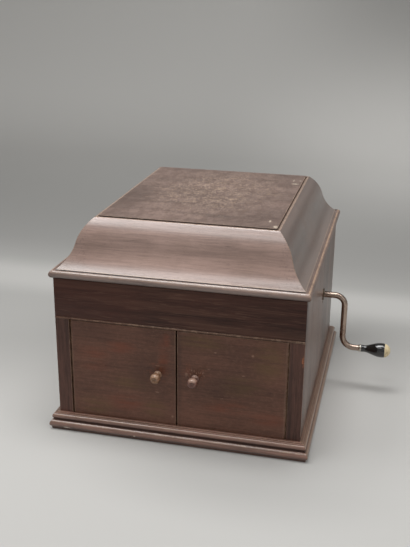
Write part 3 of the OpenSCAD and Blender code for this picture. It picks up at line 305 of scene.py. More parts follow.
def mahogany(name, colour, along, seed, gloss=None, contrast=1.0, grain=1.0, haze=0.0, coat=0.0,
             sheen=0.17, shine=0.5, marks=None):
    """Old varnished mahogany whose grain runs along one axis (0, 1 or 2)."""
    wood = bpy.context.scene.gramophone_wood
    f = Finish(name, Specular_IOR_Level=shine, Coat_Roughness=sheen)
    drift = f.noise(4.0, 2)
    offset = (seed, seed * 0.7, seed * 1.3)

    def grained(long, fine, detail, rough, warp=0.0):
        scale = tuple(long if axis == along else fine for axis in range(3))
        return f.noise(scale, detail, rough, warp, offset)

    ribbon = grained(2.2, 26.0, 3, 0.5, 0.5)
    streak = grained(9.0, 250.0, 6, 0.62, 0.9)
    pore = f.fade(grained(70.0, 900.0, 3, 0.6), 0.60, 0.72)
    wave = grained(22.0, 150.0, 5, 0.66, 1.8)
    cloud = f.node("TexNoise", None, {"Vector": f.stretched((1, 1, 1), offset), "Scale": 7.0,
                                      "Detail": 4, "Roughness": 0.6})
    figure = f.clamp(0.5 + (ribbon - 0.5) * (1.8 * contrast) + (streak - 0.5) * (1.5 * grain)
                     + (wave - 0.5) * (0.8 * grain) + (cloud - 0.5) * 1.0)
    f.base = f.mix(figure, tone(colour, 0.52), tone(colour, 1.52))
    f.cover(pore * 0.45, tone(colour, 0.32))
    dust = f.noise(38.0, 5, 0.7)
    # A pale film over the dust where the varnish has bloomed; where haze is strong, as on the
    # case's sides, it is also a painted sheen.
    veil_and_sheen = f.fade(dust, 0.48, 0.75) * haze
    f.lay(veil_and_sheen, 136, 116, 102)
    scuff = f.fade(grained(16.0, 130.0, 5, 0.75, 1.2), 0.69, 0.78)
    f.cover(scuff * 0.30, tone(wood.worn_tone, 0.45))
    # Rubbed arrises, pale where worn and partly a painted highlight; below 0 the edge mark is
    # painted shade.
    edge = f.worn()
    chips = f.fade(f.noise(95.0, 4, 0.7) + edge * 0.12, 0.55, 0.66)
    rubbed = f.clamp(edge * (0.40 + chips * 0.50))
    f.cover(rubbed, tone(wood.worn_tone, 0.82))
    # Painted shade in hollows and grooves, where the edge mark is below 0.
    hollow_shade = f.clamp(0 - edge)
    f.lay(hollow_shade, 34, 22, 17)
    f.rough = (wood.varnish if gloss is None else gloss) + (cloud - 0.5) * 0.20
    f.rough += (streak + wave - 1.0) * 0.16
    f.rough = f.rough + veil_and_sheen * 0.2 + scuff * 0.15 + rubbed * 0.08 + hollow_shade * 0.4
    f.gloss = (1.0 - hollow_shade) * coat
    if marks:
        marks(f, drift)
    if coat:
        f.feed(f.shader.inputs["Coat Weight"], f.gloss)
    height = streak * 0.6 + wave * 0.5 + dust * 0.35 - pore * 0.5
    f.rough = f.clamp(f.rough)
    return f.done(height, 0.30, 0.0007)


def door_marks(f, drift):
    """Red and golden patches in the figure, rubbed round the knobs, and a few pale scratches."""
    blot = f.noise(90.0, 4, 0.7)
    fine = f.noise((147.0, 210.0, 210.0), 4, 0.75)
    f.lay(f.fade(fine, 0.50, 0.66) * 0.24, 128, 94, 76)
    f.lay(f.fade(fine, 0.47, 0.36) * 0.14, 56, 36, 30)
    grain = f.noise((14.0, 1.0, 120.0), 4, 0.65)
    red = f.front_spots((-22.5, 158, 14, 48), (-92, 64, 48, 22), (86, 76, 52, 20),
                        (158, 64, 46, 17), (-148, 142, 42, 34), (-17, 188, 10, 28),
                        (-100, 168, 40, 18))
    f.lay(red * f.fade(grain, 0.34, 0.62) * 0.50, 122, 64, 44)
    gold = f.front_spots((158, 168, 40, 52), (40, 192, 60, 20), (-80, 104, 60, 24),
                         (-145, 52, 44, 26), (-38, 58, 30, 26), (110, 120, 50, 26))
    f.lay(gold * f.fade(grain, 0.34, 0.64) * 0.55, 104, 80, 50)
    # Dark patches in the figure; the narrow upright one by the doors' meeting edges is painted
    # shade.
    dark = f.front_spots((4, 150, 9, 150), (-150, 190, 70, 30), (90, 118, 70, 24),
                         (-60, 120, 40, 50))
    f.lay(dark * 0.30, 52, 34, 30)
    for side in (-1, 1):
        ring = f.front_spots((side * KNOB_X * 1000, KNOB_Z * 1000 + 8, 34, 34))
        f.lay(ring * f.fade(blot, 0.48, 0.62) * 0.48, 124, 72, 50)
        f.rough += ring * 0.06
    pale = f.front_spots((115.6, 140.1, 5.5, 1.5), (56.6, 145.6, 5, 1.3), (-30.4, 141, 11, 1.4),
                         (67, 177.3, 3.4, 1.8), (130.2, 178.5, 3.6, 3), (77.8, 93.4, 5.5, 1.8),
                         (17.2, 130.5, 4, 6), (-6.9, 47.3, 3, 3.4), (-33.8, 91, 6, 2.4))
    f.lay(pale * f.fade(blot, 0.34, 0.60) * 0.60, 158, 124, 104)
    nicks = f.fade(f.noise((420.0, 1.0, 190.0), 3, 0.7), 0.54, 0.62)
    struck = f.front_spots((30, 137, 20, 10), (44, 133, 9, 12), (24, 126, 7, 10))
    f.lay(nicks * struck * 0.75, 172, 132, 112)


def stile_marks(f, drift):
    """The varnish is chipped off the right stile's outer edge below the rail."""
    blot = f.noise(160.0, 3, 0.7)
    chip = f.front_spots((213, 178, 3.2, 13)) * f.fade(blot, 0.42, 0.52)
    f.lay(chip, 168, 104, 70)


def apron_marks(f, drift):
    """Long faint bands of lighter and redder grain."""
    band = f.noise((3.0, 1.0, 55.0), 3, 0.5, 0.6)
    f.lay(f.fade(band, 0.46, 0.64) * 0.50, 96, 66, 54)
    line = f.noise((11.0, 1.0, 240.0), 5, 0.65, 1.4)
    f.lay(f.fade(line, 0.52, 0.66) * 0.45, 112, 82, 68)
    left = f.fade(f.axes()[0] + (drift - 0.5) * 0.3, -0.05, -0.20)
    f.lay(left * 0.35, 78, 40, 30)


def base_shade_and_chips(f, drift):
    """Painted shade under the torus and in the cove, and two chips that show the bare wood."""
    blot = f.noise(300.0, 2, 0.7)
    chip = f.spots([((x, -0.265, z), (a, 0.01, 0.0022))
                    for x, z, a in ((-0.198, 0.0064, 0.0085), (-0.0722, 0.0072, 0.0028))])
    z = f.axes()[2]
    cove = f.fade(z, 0.0155, 0.0180) * f.fade(z, 0.0235, 0.0205)
    # Painted shade on the foot of the torus and in the cove.
    f.lay(f.most(f.fade(z, 0.0115, 0.0045), cove) * 0.72, 66, 38, 29)
    f.lay(chip * f.fade(blot, 0.28, 0.38), 226, 210, 190)


def rim_shade_and_dull_sides(f, drift):
    """Painted shade under the nose of the rim, and duller along the sides."""
    x, _, z = f.axes()
    under = f.fade(z, LID_SEAT + 0.0070, LID_SEAT + 0.0015)
    flank = f.fade(f.size(x), HALF_W - 0.004, HALF_W + 0.002)
    f.gloss *= 1.0 - flank * 0.85
    # Painted shade on the underside of the nose.
    f.lay(under * 0.75, 60, 38, 31)
    f.rough += flank * 0.15


def knob_light_and_tone(f, drift):
    """Painted light on top and painted shade below; the left knob is the more golden one."""
    x, _, z = f.axes()
    # Painted shade on the lower half, and a painted highlight on the top.
    f.lay(f.fade(z, KNOB_Z + 0.001, KNOB_Z - 0.007) * 0.55, 70, 42, 34)
    f.lay(f.fade(z, KNOB_Z + 0.002, KNOB_Z + 0.007) * 0.55, 218, 184, 164)
    # Painted shade in the middle of each knob's face, where the real knob is sunken.
    for side in (-1, 1):
        eye = f.spots([((side * KNOB_X, DOOR_FACE - KNOB_REACH + 0.001, KNOB_Z),
                        (0.0052, 0.004, 0.0052))])
        f.lay(eye * 0.70, 84, 50, 40)
    f.lay(f.fade(x, 0.01, -0.01) * 0.40, 160, 122, 78)


def top_marks(f, drift):
    """The top's bloomed varnish: a pale scratched patch in the middle, dark patches round it and
    pale spots on the right."""
    outside = f.fade(f.axes()[2], PANEL_TOP - 0.004, PANEL_TOP - 0.001)
    flake = f.noise((240.0, 120.0, 240.0), 5, 0.78)
    middle = f.top_spots((0.0, 0.03, 0.16, 0.22))
    bloom = f.fade(flake, 0.47, 0.60) * (0.22 + middle * 0.78) * outside
    f.lay(bloom * 0.66, 172, 150, 132)
    mottle = f.fade(f.noise((60.0, 36.0, 60.0), 4, 0.7), 0.42, 0.60)
    f.lay(mottle * 0.38, 80, 60, 52)
    scratch = f.fade(f.noise((30.0, 52.0, 1.0), 4, 0.7, 2.5), 0.58, 0.64)
    f.lay(scratch * middle * 0.60, 184, 158, 132)
    dark = f.top_spots((-0.092, 0.186, 0.050, 0.016), (0.11, -0.15, 0.12, 0.08),
                       (-0.10, 0.10, 0.07, 0.05), (-0.135, -0.06, 0.07, 0.16))
    f.lay(dark * f.fade(drift, 0.30, 0.60) * 0.45, 66, 52, 46)
    spot = f.top_spots((0.1342, 0.1462, 0.0034, 0.0095), (0.1475, 0.148, 0.0042, 0.006),
                       (0.1348, -0.1486, 0.0026, 0.0085), (0.149, -0.178, 0.006, 0.008),
                       (0.141, 0.120, 0.010, 0.006))
    f.lay(spot * f.fade(flake, 0.34, 0.56), 206, 192, 172)
    f.rough += bloom * 0.12


def shoulder_tone_and_sheen(f, drift):
    """Browner in the middle of the ogee, and a painted grey sheen along its foot and its shoulder.
    """
    x, _, z = f.axes()
    # Painted sheen along the foot and the shoulder, stronger on the side boards.
    pale = f.most(f.fade(z + (drift - 0.5) * 0.012, 0.3150, 0.3020), f.fade(z, 0.362, 0.374))
    flank = f.fade(f.size(x), HALF_W - 0.06, HALF_W - 0.04)
    f.lay(pale * (0.22 + flank * 0.30), 152, 138, 131)
    brown = (0.35 + f.fade(drift, 0.42, 0.62) * 0.65) * (1 - pale)
    f.lay(brown * 0.33, 118, 88, 71)
    fleck = f.noise(260.0, 4, 0.75)
    f.lay(f.fade(fleck, 0.47, 0.36) * (0.06 + flank * 0.20), 70, 50, 42)


def bare_wood(name, colour, along):
    """Unvarnished wood inside the cabinet, brown with age."""
    f = Finish(name, Specular_IOR_Level=0.25)
    grain = f.noise(tuple(5.0 if axis == along else 120.0 for axis in range(3)), 5, 0.6, 0.4)
    stain = f.noise(9.0, 4, 0.6)
    f.base = f.mix(f.clamp(grain * 1.4 - 0.2), tone(colour, 0.55), tone(colour, 1.25))
    f.cover(f.fade(stain, 0.5, 0.72) * 0.5, tone(colour, 0.4))
    f.rough = 0.62 + grain * 0.2
    return f.done(grain, 0.3, 0.0005)


def old_plate(name, colour, under, spread, rough):
    """Plated metal, dulled, and worn through in places to the metal under it."""
    f = Finish(name, Metallic=1.0)
    film = f.noise(60.0, 5, 0.65)
    gone = f.fade(f.noise(24.0, 4, 0.6, 0.5) + f.worn() * 0.15, 0.68 - spread * 0.25,
                  0.80 - spread * 0.2)
    pit = f.fade(f.noise(420.0, 2), 0.68, 0.75)
    f.base = f.mix(film, tone(colour, 0.72), tone(colour, 1.1))
    f.cover(gone, under)
    f.cover(pit * 0.7, tone(under, 0.3))
    f.rough = f.clamp(rough + (film - 0.5) * 0.25 + gone * 0.18 + pit * 0.3)
    return f.done(film - pit * 0.6, 0.12, 0.0003)


def machined(name, colour):
    """Turned or stamped steel with a fine brushed line and a little rust."""
    f = Finish(name, Metallic=1.0)
    line = f.noise((40.0, 900.0, 900.0), 2)
    rust = f.fade(f.noise(45.0, 5, 0.7), 0.62, 0.78)
    f.base = f.mix(line, tone(colour, 0.75), tone(colour, 1.1))
    f.lay(rust * 0.6, 92, 62, 44)
    f.rough = f.clamp(0.32 + line * 0.1 + rust * 0.35)
    return f.done(line + rust, 0.08, 0.0002)


def enamel(name, colour):
    """Dull black enamel with dust and rubbed spots."""
    f = Finish(name)
    dust = f.noise(55.0, 5, 0.7)
    f.base = colour
    f.lay(f.fade(dust, 0.5, 0.8) * 0.5, 84, 80, 74)
    f.rough = f.clamp(0.38 + dust * 0.3)
    return f.done(dust, 0.15, 0.0003)


def lacquer(name, colour):
    """Glossy black lacquer with fine scratches and small nicks."""
    f = Finish(name, Specular_IOR_Level=0.5, Coat_Weight=1.0, Coat_Roughness=0.04)
    haze = f.noise(140.0, 4, 0.7)
    cell = f.node("TexVoronoi", {"feature": "F1"}, {"Vector": f.point, "Scale": 260.0}, "Distance")
    nick = f.fade(cell, 0.12, 0.06) * f.fade(f.noise(80.0, 1), 0.60, 0.66)
    f.base = colour
    f.lay(nick, 150, 140, 120)
    f.rough = f.clamp(0.06 + haze * 0.10 + nick * 0.4)
    return f.done(haze, 0.05, 0.0002)


def aged_cream(name, colour):
    """Yellowed cream cap with stains."""
    f = Finish(name)
    stain = f.noise(190.0, 5, 0.7)
    f.base = colour
    f.lay(f.fade(stain, 0.46, 0.74) * 0.75, 142, 112, 76)
    f.rough = 0.30 + stain * 0.3
    return f.done(stain, 0.12, 0.0003)


def felt(name, colour):
    """Short napped felt, faded in patches."""
    f = Finish(name, Sheen_Weight=0.5, Sheen_Roughness=0.5, Specular_IOR_Level=0.1)
    nap = f.noise(1400.0, 3, 0.7)
    faded = f.noise(16.0, 4, 0.6)
    f.base = f.mix(faded, tone(colour, 0.7), tone(colour, 1.35))
    f.cover(f.fade(nap, 0.35, 0.65) * 0.5, tone(colour, 0.45))
    f.rough = 0.85 + nap * 0.1
    return f.done(nap, 0.5, 0.0004)


def mica_film(name, colour):
    """Clear mica with cloudy layers."""
    f = Finish(name, Transmission_Weight=0.7, IOR=1.55)
    cloud = f.noise(120.0, 5, 0.7)
    f.base = f.mix(cloud, tone(colour, 0.8), colour)
    f.rough = 0.08 + cloud * 0.15
    return f.done(cloud, 0.05, 0.0002)


def paper(name, colour):
    """Plain floor that runs up into the backdrop, with painted light and painted shade on it:
    painted shade behind the object, painted light up the backdrop and in front, a painted shadow in
    front of the object, and painted light beside it on the right where its shadow falls.
    """
    f = Finish(name, Specular_IOR_Level=0.15)
    x, y, z = f.axes()
    drift = f.noise(1.6, 3, 0.5)
    run = y + z + (drift - 0.5) * 0.10
    right = f.fade(x, -0.6, 0.4)

    def shade(share, factor, at_right=None):
        over = tone(colour, factor)
        if at_right:
            over = f.mix(right, over, tone(colour, at_right))
        f.cover(share, over)

    f.base = tone(colour, 0.76)
    shade(drift, 0.84)
    # A painted band of light across the floor.
    shade(f.fade(run, 0.33, 0.45) * f.fade(run, 0.62, 0.50), 1.00)
    # Painted shade behind the object.
    shade(f.fade(run, 0.50, 0.80), 0.64, 0.68)
    # Painted light up the backdrop and in front, and painted shade high up on the right.
    shade(f.fade(run, 0.85, 3.0 - 0.7 * right), 1.28, 1.58)
    shade(f.fade(run, 2.5, 4.0), 1.26, 0.84)
    shade(f.fade(y - 0.25 * right, 0.10, -0.30), 1.10)
    # A painted shadow on the floor in front of the object.
    shade(f.spots([((0.12, -0.33, 0), (0.32, 0.16, 1))]) * 0.30, 0.5)
    # Painted light on the floor to the right of the object, to thin its shadow.
    shade(f.spots([((0.26, -0.02, 0), (0.12, 0.34, 1))]) * 0.60, 1.45)
    f.rough = 0.8 + drift * 0.05
    return f.done()


FINISHES = {}


def finishes():
    """Every finish of the object, made once."""
    if FINISHES:
        return FINISHES
    wood = bpy.context.scene.gramophone_wood
    metal = bpy.context.scene.gramophone_metal
    lid = wood.lid_tone
    varnished = (
        ("case_front", wood.case_tone, 0, dict(shine=0.22, marks=apron_marks)),
        ("case_upright", linear(78, 52, 44), 2,
         dict(contrast=1.2, grain=1.7, shine=0.3, marks=stile_marks)),
        # The side panels' lighter tone and pale film are partly a painted sheen.
        ("case_side", linear(98, 75, 65), 2, dict(contrast=1.3, grain=1.4, haze=0.55)),
        ("door", wood.door_tone, 0,
         dict(contrast=0.5, grain=0.72, shine=0.3, marks=door_marks)),
        ("knob", linear(110, 69, 56), 1,
         dict(gloss=0.30, contrast=0.5, coat=0.6, sheen=0.10, marks=knob_light_and_tone)),
        ("moulding", linear(136, 100, 86), 0,
         dict(haze=0.2, coat=1.0, sheen=0.18, marks=base_shade_and_chips)),
        ("moulding_side", linear(122, 96, 82), 1,
         dict(haze=0.2, coat=0.5, sheen=0.30, marks=base_shade_and_chips)),
        # The ogee's front boards are painted lighter and its side boards darker than the same lid
        # tone: painted light and painted shade.
        ("lid_front", tone(lid, 1.66), 0,
         dict(haze=0.22, contrast=0.6, grain=0.7, coat=0.68, sheen=0.20, marks=shoulder_tone_and_sheen)),
        ("lid_side", tone(lid, 0.56), 1,
         dict(haze=0.26, contrast=0.55, grain=0.7, coat=0.4, marks=shoulder_tone_and_sheen)),
        ("lid_rim", tone(lid, 0.95), 0,
         dict(haze=0.2, contrast=0.6, coat=1.0, sheen=0.09, marks=rim_shade_and_dull_sides)),
        ("lid_top", tone(lid, 0.86), 0,
         dict(gloss=0.40, haze=0.2, contrast=0.45, marks=top_marks)),
        ("deck", tone(lid, 1.2), 1, {}))
    for seed, (name, colour, along, options) in enumerate(varnished, 1):
        FINISHES[name] = mahogany(name, colour, along, seed, **options)
    for name, maker, *colours_and_more in (
            ("bare", bare_wood, linear(150, 116, 84), 1),
            ("nickel", old_plate, metal.nickel_tone, linear(134, 112, 82), 0.35, 0.24),
            ("rod", old_plate, linear(178, 158, 144), linear(132, 106, 92), 0.6, 0.20),
            ("dull", old_plate, linear(104, 92, 78), linear(66, 54, 44), 0.6, 0.36),
            ("bright", old_plate, linear(226, 220, 208), linear(150, 126, 100), 0.2, 0.16),
            ("brass", old_plate, metal.brass_tone, linear(74, 54, 34), 0.6, 0.34),
            ("steel", machined, metal.steel_tone),
            ("iron", enamel, linear(24, 25, 25)),
            ("lacquer", lacquer, linear(12, 12, 12)),
            ("cream", aged_cream, linear(224, 206, 166)),
            ("felt", felt, linear(46, 74, 48)),
            ("mica", mica_film, linear(226, 216, 186))):
        FINISHES[name] = maker(name, *colours_and_more)
    return FINISHES


# Mesh helpers

def as_mesh(name, bm):
    bmesh.ops.recalc_face_normals(bm, faces=bm.faces)
    mesh = bpy.data.meshes.new(name)
    bm.to_mesh(mesh)
    bm.free()
    return mesh


def placed(name, data):
    """An object of the data, in the scene."""
    made = bpy.data.objects.new(name, data)
    bpy.context.scene.collection.objects.link(made)
    return made


def make(name, finish, bm, smooth, node=None, body=None):
    """A finished piece in a CAD node's place, or on a given body. smooth is the angle in degrees
    from which an edge is drawn sharp."""
    mesh = as_mesh(name, bm)
    mesh.materials.append(finishes()[finish])
    mesh.shade_smooth()
    mesh.set_sharp_from_angle(angle=math.radians(smooth))
    piece = placed(name, mesh)
    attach(piece, body or BODY_OF[node])
    if node:
        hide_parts(node)
    return piece


def edge_layer(bm):
    """The mark of each face's corners: above 0 it is rubbed and worn, partly a painted highlight;
    below 0 it is painted shade.
    """
    return bm.loops.layers.float.get("edge") or bm.loops.layers.float.new("edge")


def set_mark(face, layer, amount):
    for loop in face.loops:
        loop[layer] = amount


def bevelled(bm, width, segments):
    """Eases the sharp edges and marks the new faces as rubbed: pale where worn, and partly a
    painted highlight.
    """
    layer = edge_layer(bm)
    sharp = [e for e in bm.edges
             if len(e.link_faces) == 2 and e.calc_face_angle(0) > SHARP_ANGLE]
    done = bmesh.ops.bevel(bm, geom=sharp, offset=width, segments=segments, profile=0.5,
                           affect="EDGES", clamp_overlap=True)
    for face in done["faces"]:
        set_mark(face, layer, 1.0)


def eased(node, finish, width, segments=3):
    """The CAD node's own shape with eased edges, in the node's place. A width of 0 only rids it
    of slivers."""
    bm = bmesh.new()
    bm.from_mesh(NODES[node].data)
    bmesh.ops.remove_doubles(bm, verts=bm.verts, dist=WELD)
    bmesh.ops.dissolve_degenerate(bm, dist=WELD, edges=bm.edges)
    bmesh.ops.dissolve_limit(bm, angle_limit=FLAT_ANGLE, verts=bm.verts, edges=bm.edges)
    if width:
        bevelled(bm, width, segments)
        bmesh.ops.dissolve_degenerate(bm, dist=WELD, edges=bm.edges)
    piece = make(node + "_eased", finish, bm, 60, node)
    flat = piece.modifiers.new("weighted", "WEIGHTED_NORMAL")
    flat.keep_sharp = True
    flat.weight = 80
    return piece


def recoat(node, finish):
    """A CAD node whose shape is right, in its finish."""
    piece = NODES[node]
    piece.data.materials.clear()
    piece.data.materials.append(finishes()[finish])


def mark(piece, amount, test):
    """Sets the edge mark of the faces that pass the test."""
    mesh = piece.data
    for face in mesh.polygons:
        if test(face):
            for loop in face.loop_indices:
                mesh.attributes["edge"].data[loop].value = amount


def arc(centre, radius, start, end, steps):
    """Points of an arc in a profile's plane; the angles are in degrees."""
    turns = [math.radians(start + (end - start) * i / steps) for i in range(steps + 1)]
    return [(centre[0] + radius * math.cos(a), centre[1] + radius * math.sin(a)) for a in turns]


def angle_to(centre, point):
    return math.degrees(math.atan2(point[1] - centre[1], point[0] - centre[0]))


def arc_centre(p, q, radius):
    """Centre of the circle through p and q, on the left of the way from p to q."""
    chord = Vector(q) - Vector(p)
    side = Vector((-chord.y, chord.x)).normalized()
    return (Vector(p) + Vector(q)) / 2 + side * math.sqrt(radius ** 2 - (chord.length / 2) ** 2)


def facing(point, way):
    """Takes +X to the way and the origin to the point."""
    return Matrix.Translation(point) @ Vector(way).to_track_quat("X", "Z").to_matrix().to_4x4()


def circle(bm, place, along, radius, segments):
    """A ring of points round the +X axis of a place."""
    turns = [2 * math.pi * i / segments for i in range(segments)]
    return [bm.verts.new(place @ Vector((along, radius * math.cos(a), radius * math.sin(a))))
            for a in turns]


def skin(bm, a, b):
    """The faces between two rings of equal length."""
    count = len(a)
    return [bm.faces.new((a[i], a[(i + 1) % count], b[(i + 1) % count], b[i]))
            for i in range(count)]


def skinned(bm, rings):
    """The faces along a row of rings, and a face over each end."""
    rows = [skin(bm, a, b) for a, b in zip(rings, rings[1:])]
    bm.faces.new(rings[0][::-1])
    bm.faces.new(rings[-1])
    return rows


def mitred(bm, side, width, depth, profile, mid_y, gap, wear, hip=0.6):
    """One length of moulding on the front (0), right (1), back (2) or left (3); the profile's
    points are (reach, height), and both ends are cut on the mitre. The marking function gives the
    edge mark at a reach and height, rubbed and partly a painted highlight above 0, painted shade
    below 0; hip is the mark of the arris at the mitre."""
    length, off = (width, depth / 2) if side % 2 == 0 else (depth, width / 2)
    turn = Matrix.Translation((0, mid_y, 0)) @ Matrix.Rotation(math.radians(90 * side), 4, "Z")
    stops = [-1, -0.9955, -0.98] + [i / 8 for i in range(-7, 8)] + [0.98, 0.9955, 1]
    layer = edge_layer(bm)
    rings = [[bm.verts.new(turn @ Vector((stop * (length / 2 + reach - gap), -off - reach, height)))
              for reach, height in profile] for stop in stops]
    marks = [wear((p[0] + q[0]) / 2, (p[1] + q[1]) / 2)
             for p, q in zip(profile, profile[1:] + profile[:1])]
    rows = skinned(bm, rings)
    for k, row in enumerate(rows):
        at_mitre = k in (0, len(rows) - 1)
        for face, amount in zip(row, marks):
            set_mark(face, layer, max(amount, hip) if at_mitre and amount >= 0 else amount)


def turned(bm, profile, place, segments):
    """A revolve of (along, radius) points; place takes its axis, +X, into the model."""
    rings = [[bm.verts.new(place @ Vector((along, 0, 0)))] if radius < 1e-7
             else circle(bm, place, along, radius, segments) for along, radius in profile]
    for a, b in zip(rings, rings[1:]):
        for i in range(segments):
            j = (i + 1) % segments
            if len(a) == 1:
                bm.faces.new((a[0], b[i], b[j]))
            elif len(b) == 1:
                bm.faces.new((a[i], b[0], a[j]))
            else:
                bm.faces.new((a[i], b[i], b[j], a[j]))
    if len(rings[0]) > 1:
        bm.faces.new(rings[0][::-1])
    if len(rings[-1]) > 1:
        bm.faces.new(rings[-1])


def ring(bm, profile, place, segments):
    """A closed revolve with a hole; the profile is a closed loop of (along, radius)."""
    rings = [circle(bm, place, along, radius, segments) for along, radius in profile]
    for a, b in zip(rings, rings[1:] + rings[:1]):
        skin(bm, a, b)


def swept(bm, points, radius, segments):
    """A round bar along points."""
    points = [Vector(p) for p in points]
    rings = []
    normal = None
    for i, point in enumerate(points):
        ahead = (points[min(i + 1, len(points) - 1)] - points[max(i - 1, 0)]).normalized()
        if normal is None:
            normal = ahead.orthogonal().normalized()
        normal = (normal - ahead * normal.dot(ahead)).normalized()
        frame_here = Matrix((ahead, normal, ahead.cross(normal))).transposed().to_4x4()
        rings.append(circle(bm, Matrix.Translation(point) @ frame_here, 0, radius, segments))
    skinned(bm, rings)


def smooth_curve(points, steps):
    """A soft curve through points, by Catmull and Rom's rule."""
    points = [Vector(p) for p in points]
    ends = [2 * points[0] - points[1]] + points + [2 * points[-1] - points[-2]]
    out = []
    for a, b, c, d in zip(ends, ends[1:], ends[2:], ends[3:]):
        for i in range(steps):
            t = i / steps
            out.append(0.5 * (2 * b + (c - a) * t + (2 * a - 5 * b + 4 * c - d) * t * t
                              + (3 * b - a - 3 * c + d) * t ** 3))
    return [(p.x, max(p.y, 0)) for p in out + [points[-1]]]


def screw_head(bm, place, radius, depth, turn=0.0):
    """A slotted screw head; place takes +X, its outward way, into the model."""
    low = (-depth * 2, 0)
    crown = arc(low, math.hypot(depth * 2, radius), 0, angle_to(low, (0, radius)), 5)
    crown = [(along - crown[0][0] + depth, r) for along, r in crown]
    head = bmesh.new()
    turned(head, crown + [(-depth, radius)], Matrix.Identity(4), 24)
    half = radius * 0.14
    for at in (-half, -half * 0.8, half * 0.8, half):
        bmesh.ops.bisect_plane(head, geom=head.verts[:] + head.edges[:] + head.faces[:],
                               plane_co=(0, at, 0), plane_no=(0, 1, 0))
    for vert in head.verts:
        if abs(vert.co.y) < half * 0.81 and vert.co.x > -depth * 0.5:
            vert.co.x = min(vert.co.x, depth * 0.45)
    mesh = bpy.data.meshes.new("head")
    head.transform(place @ Matrix.Rotation(turn, 4, "X"))
    head.to_mesh(mesh)
    head.free()
    bm.from_mesh(mesh)
    bpy.data.meshes.remove(mesh)


# The profiles of the joiner's mouldings, as (reach, height), and where they are worn, carry painted
# highlights or carry painted shade

def base_profile():
    """Fillet, two small steps, bead, undercut cove and torus."""
    bead = (0.0062, 0.0238)
    torus = (0.0085, 0.010)
    return ([(0, 0), (0, 0.031), (0.0040, 0.031), (0.0044, 0.0306), (0.0044, 0.0297),
             (0.0070, 0.0296), (0.0075, 0.0291), (0.0075, 0.0283)]
            + arc(bead, 0.0048, 68, -48, 16) + [(0.0086, 0.0190), (0.0088, 0.0176)]
            + arc(torus, 0.00697, 78, -55, 22)
            + [(torus[0] + 0.007 * math.cos(math.radians(55)) - 0.001, 0)])


def base_wear_and_painted_light(reach, height):
    """Rubbed arrises, bead and torus, pale where worn and partly a painted highlight, and painted
    shade in the cove and at the foot of each step.
    """
    if 0.0169 < height < 0.0202:
        return -0.9
    if (reach < 0.0046 and 0.0296 < height < 0.0303) or 0.0282 < height < 0.0288:
        return -0.45
    if height > 0.0303 and reach > 0.0038:
        return 1.0
    rubbed = ((0.0262, 0.0280), (0.0290, 0.0296), (0.0140, 0.0163))
    return 0.65 if any(low < height < high for low, high in rubbed) else 0.0


def rim_profile():
    """A bullnose with a quirk behind it."""
    nose = arc((-0.001, LID_SEAT + RIM_R), RIM_R, -90, 78, 24)
    quirk = [(-0.0011, 0.0014), (-0.0030, 0.0016), (-0.0041, 0.0012), (-0.0046, 0.0004)]
    return ([(-0.026, RIM_TOP - 0.0004), (-0.026, LID_SEAT)] + nose
            + [(nose[-1][0] - 0.0006, nose[-1][1] - 0.0004)]
            + [(reach, RIM_TOP - drop) for reach, drop in quirk])


def rim_wear_and_painted_light(reach, height):
    """Painted shade in the quirk behind the nose, and a rubbed nose, pale where worn and partly a
    painted highlight.
    """
    if -0.0050 < reach < 0.0002 and height > RIM_TOP - 0.003:
        return -0.9
    return 0.45 if reach > 0.001 and height > RIM_TOP - 0.004 else 0.0


def side_rim_wear_and_highlight(reach, height):
    """The sides' quirk has no painted shade, and their nose is rubbed along its top: worn, and a
    painted highlight line.
    """
    return 1.0 if reach > 0.0004 and height > RIM_TOP - 0.0015 else 0.0


def ogee_profile():
    """Hollow at the foot and round at the shoulder, with the rebate of the top panel."""
    foot, top = (OGEE_FOOT, RIM_TOP), (OGEE_ARRIS, LID_TOP)
    middle = ((foot[0] + top[0]) / 2, (foot[1] + top[1]) / 2)
    hollow, swell = arc_centre(middle, foot, OGEE_R), arc_centre(middle, top, OGEE_R)
    hollow_r, swell_r = OGEE_R + OGEE_T, OGEE_R - OGEE_T
    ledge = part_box("lid_top_panel")[0].z
    ledge_x = swell.x + math.sqrt(swell_r ** 2 - (ledge - swell.y) ** 2)
    foot_x = hollow.x - math.sqrt(hollow_r ** 2 - (RIM_TOP - hollow.y) ** 2)
    turn_a, turn_b = angle_to(hollow, middle), angle_to(swell, middle)
    shoulder = arc(swell, OGEE_R, turn_b, angle_to(swell, top), 26)[1:-1]
    rise = arc(hollow, OGEE_R, angle_to(hollow, foot), turn_a, 24)
    rise.insert(1, ((rise[0][0] + rise[1][0]) / 2, (rise[0][1] + rise[1][1]) / 2))
    return (rise + shoulder
            + [(top[0] + 0.0004, top[1] - 0.0003), (top[0] - 0.0003, LID_TOP),
               (-PANEL_INSET + 0.0003, LID_TOP), (-PANEL_INSET, LID_TOP - 0.0003),
               (-PANEL_INSET, ledge)]
            + arc(swell, swell_r, angle_to(swell, (ledge_x, ledge)), turn_b, 12)
            + arc(hollow, hollow_r, turn_a, angle_to(hollow, (foot_x, RIM_TOP)), 12)[1:])


def ogee_wear_and_painted_light(reach, height):
    """Rubbed arrises at the foot and at the groove of the top, partly painted highlights, and
    painted shade down the rebate for the top panel.
    """
    if height > LID_TOP - 0.0007:
        return 0.9
    if reach < -PANEL_INSET + 0.0002 and height > LID_TOP - 0.02:
        return -0.8
    return 0.9 if height < RIM_TOP + 0.0012 and reach > -0.008 else 0.0


# Operators, one for each piece or group of like pieces

class Dress(bpy.types.Operator):
    """Base of the dressing operators. eases has rows of finish, width, steps and the CAD nodes to
    ease; coats has rows of finish and the CAD nodes that keep their shape."""
    bl_options = {"REGISTER", "UNDO"}
    eases = ()
    coats = ()

    def execute(self, context):
        for finish, width, segments, *nodes in self.eases:
            for node in nodes:
                eased(node, finish, width, segments)
        for finish, *nodes in self.coats:
            for node in nodes:
                recoat(node, finish)
        self.build(context)
        return {"FINISHED"}

    def build(self, context):
        """The pieces with a shape of their own."""


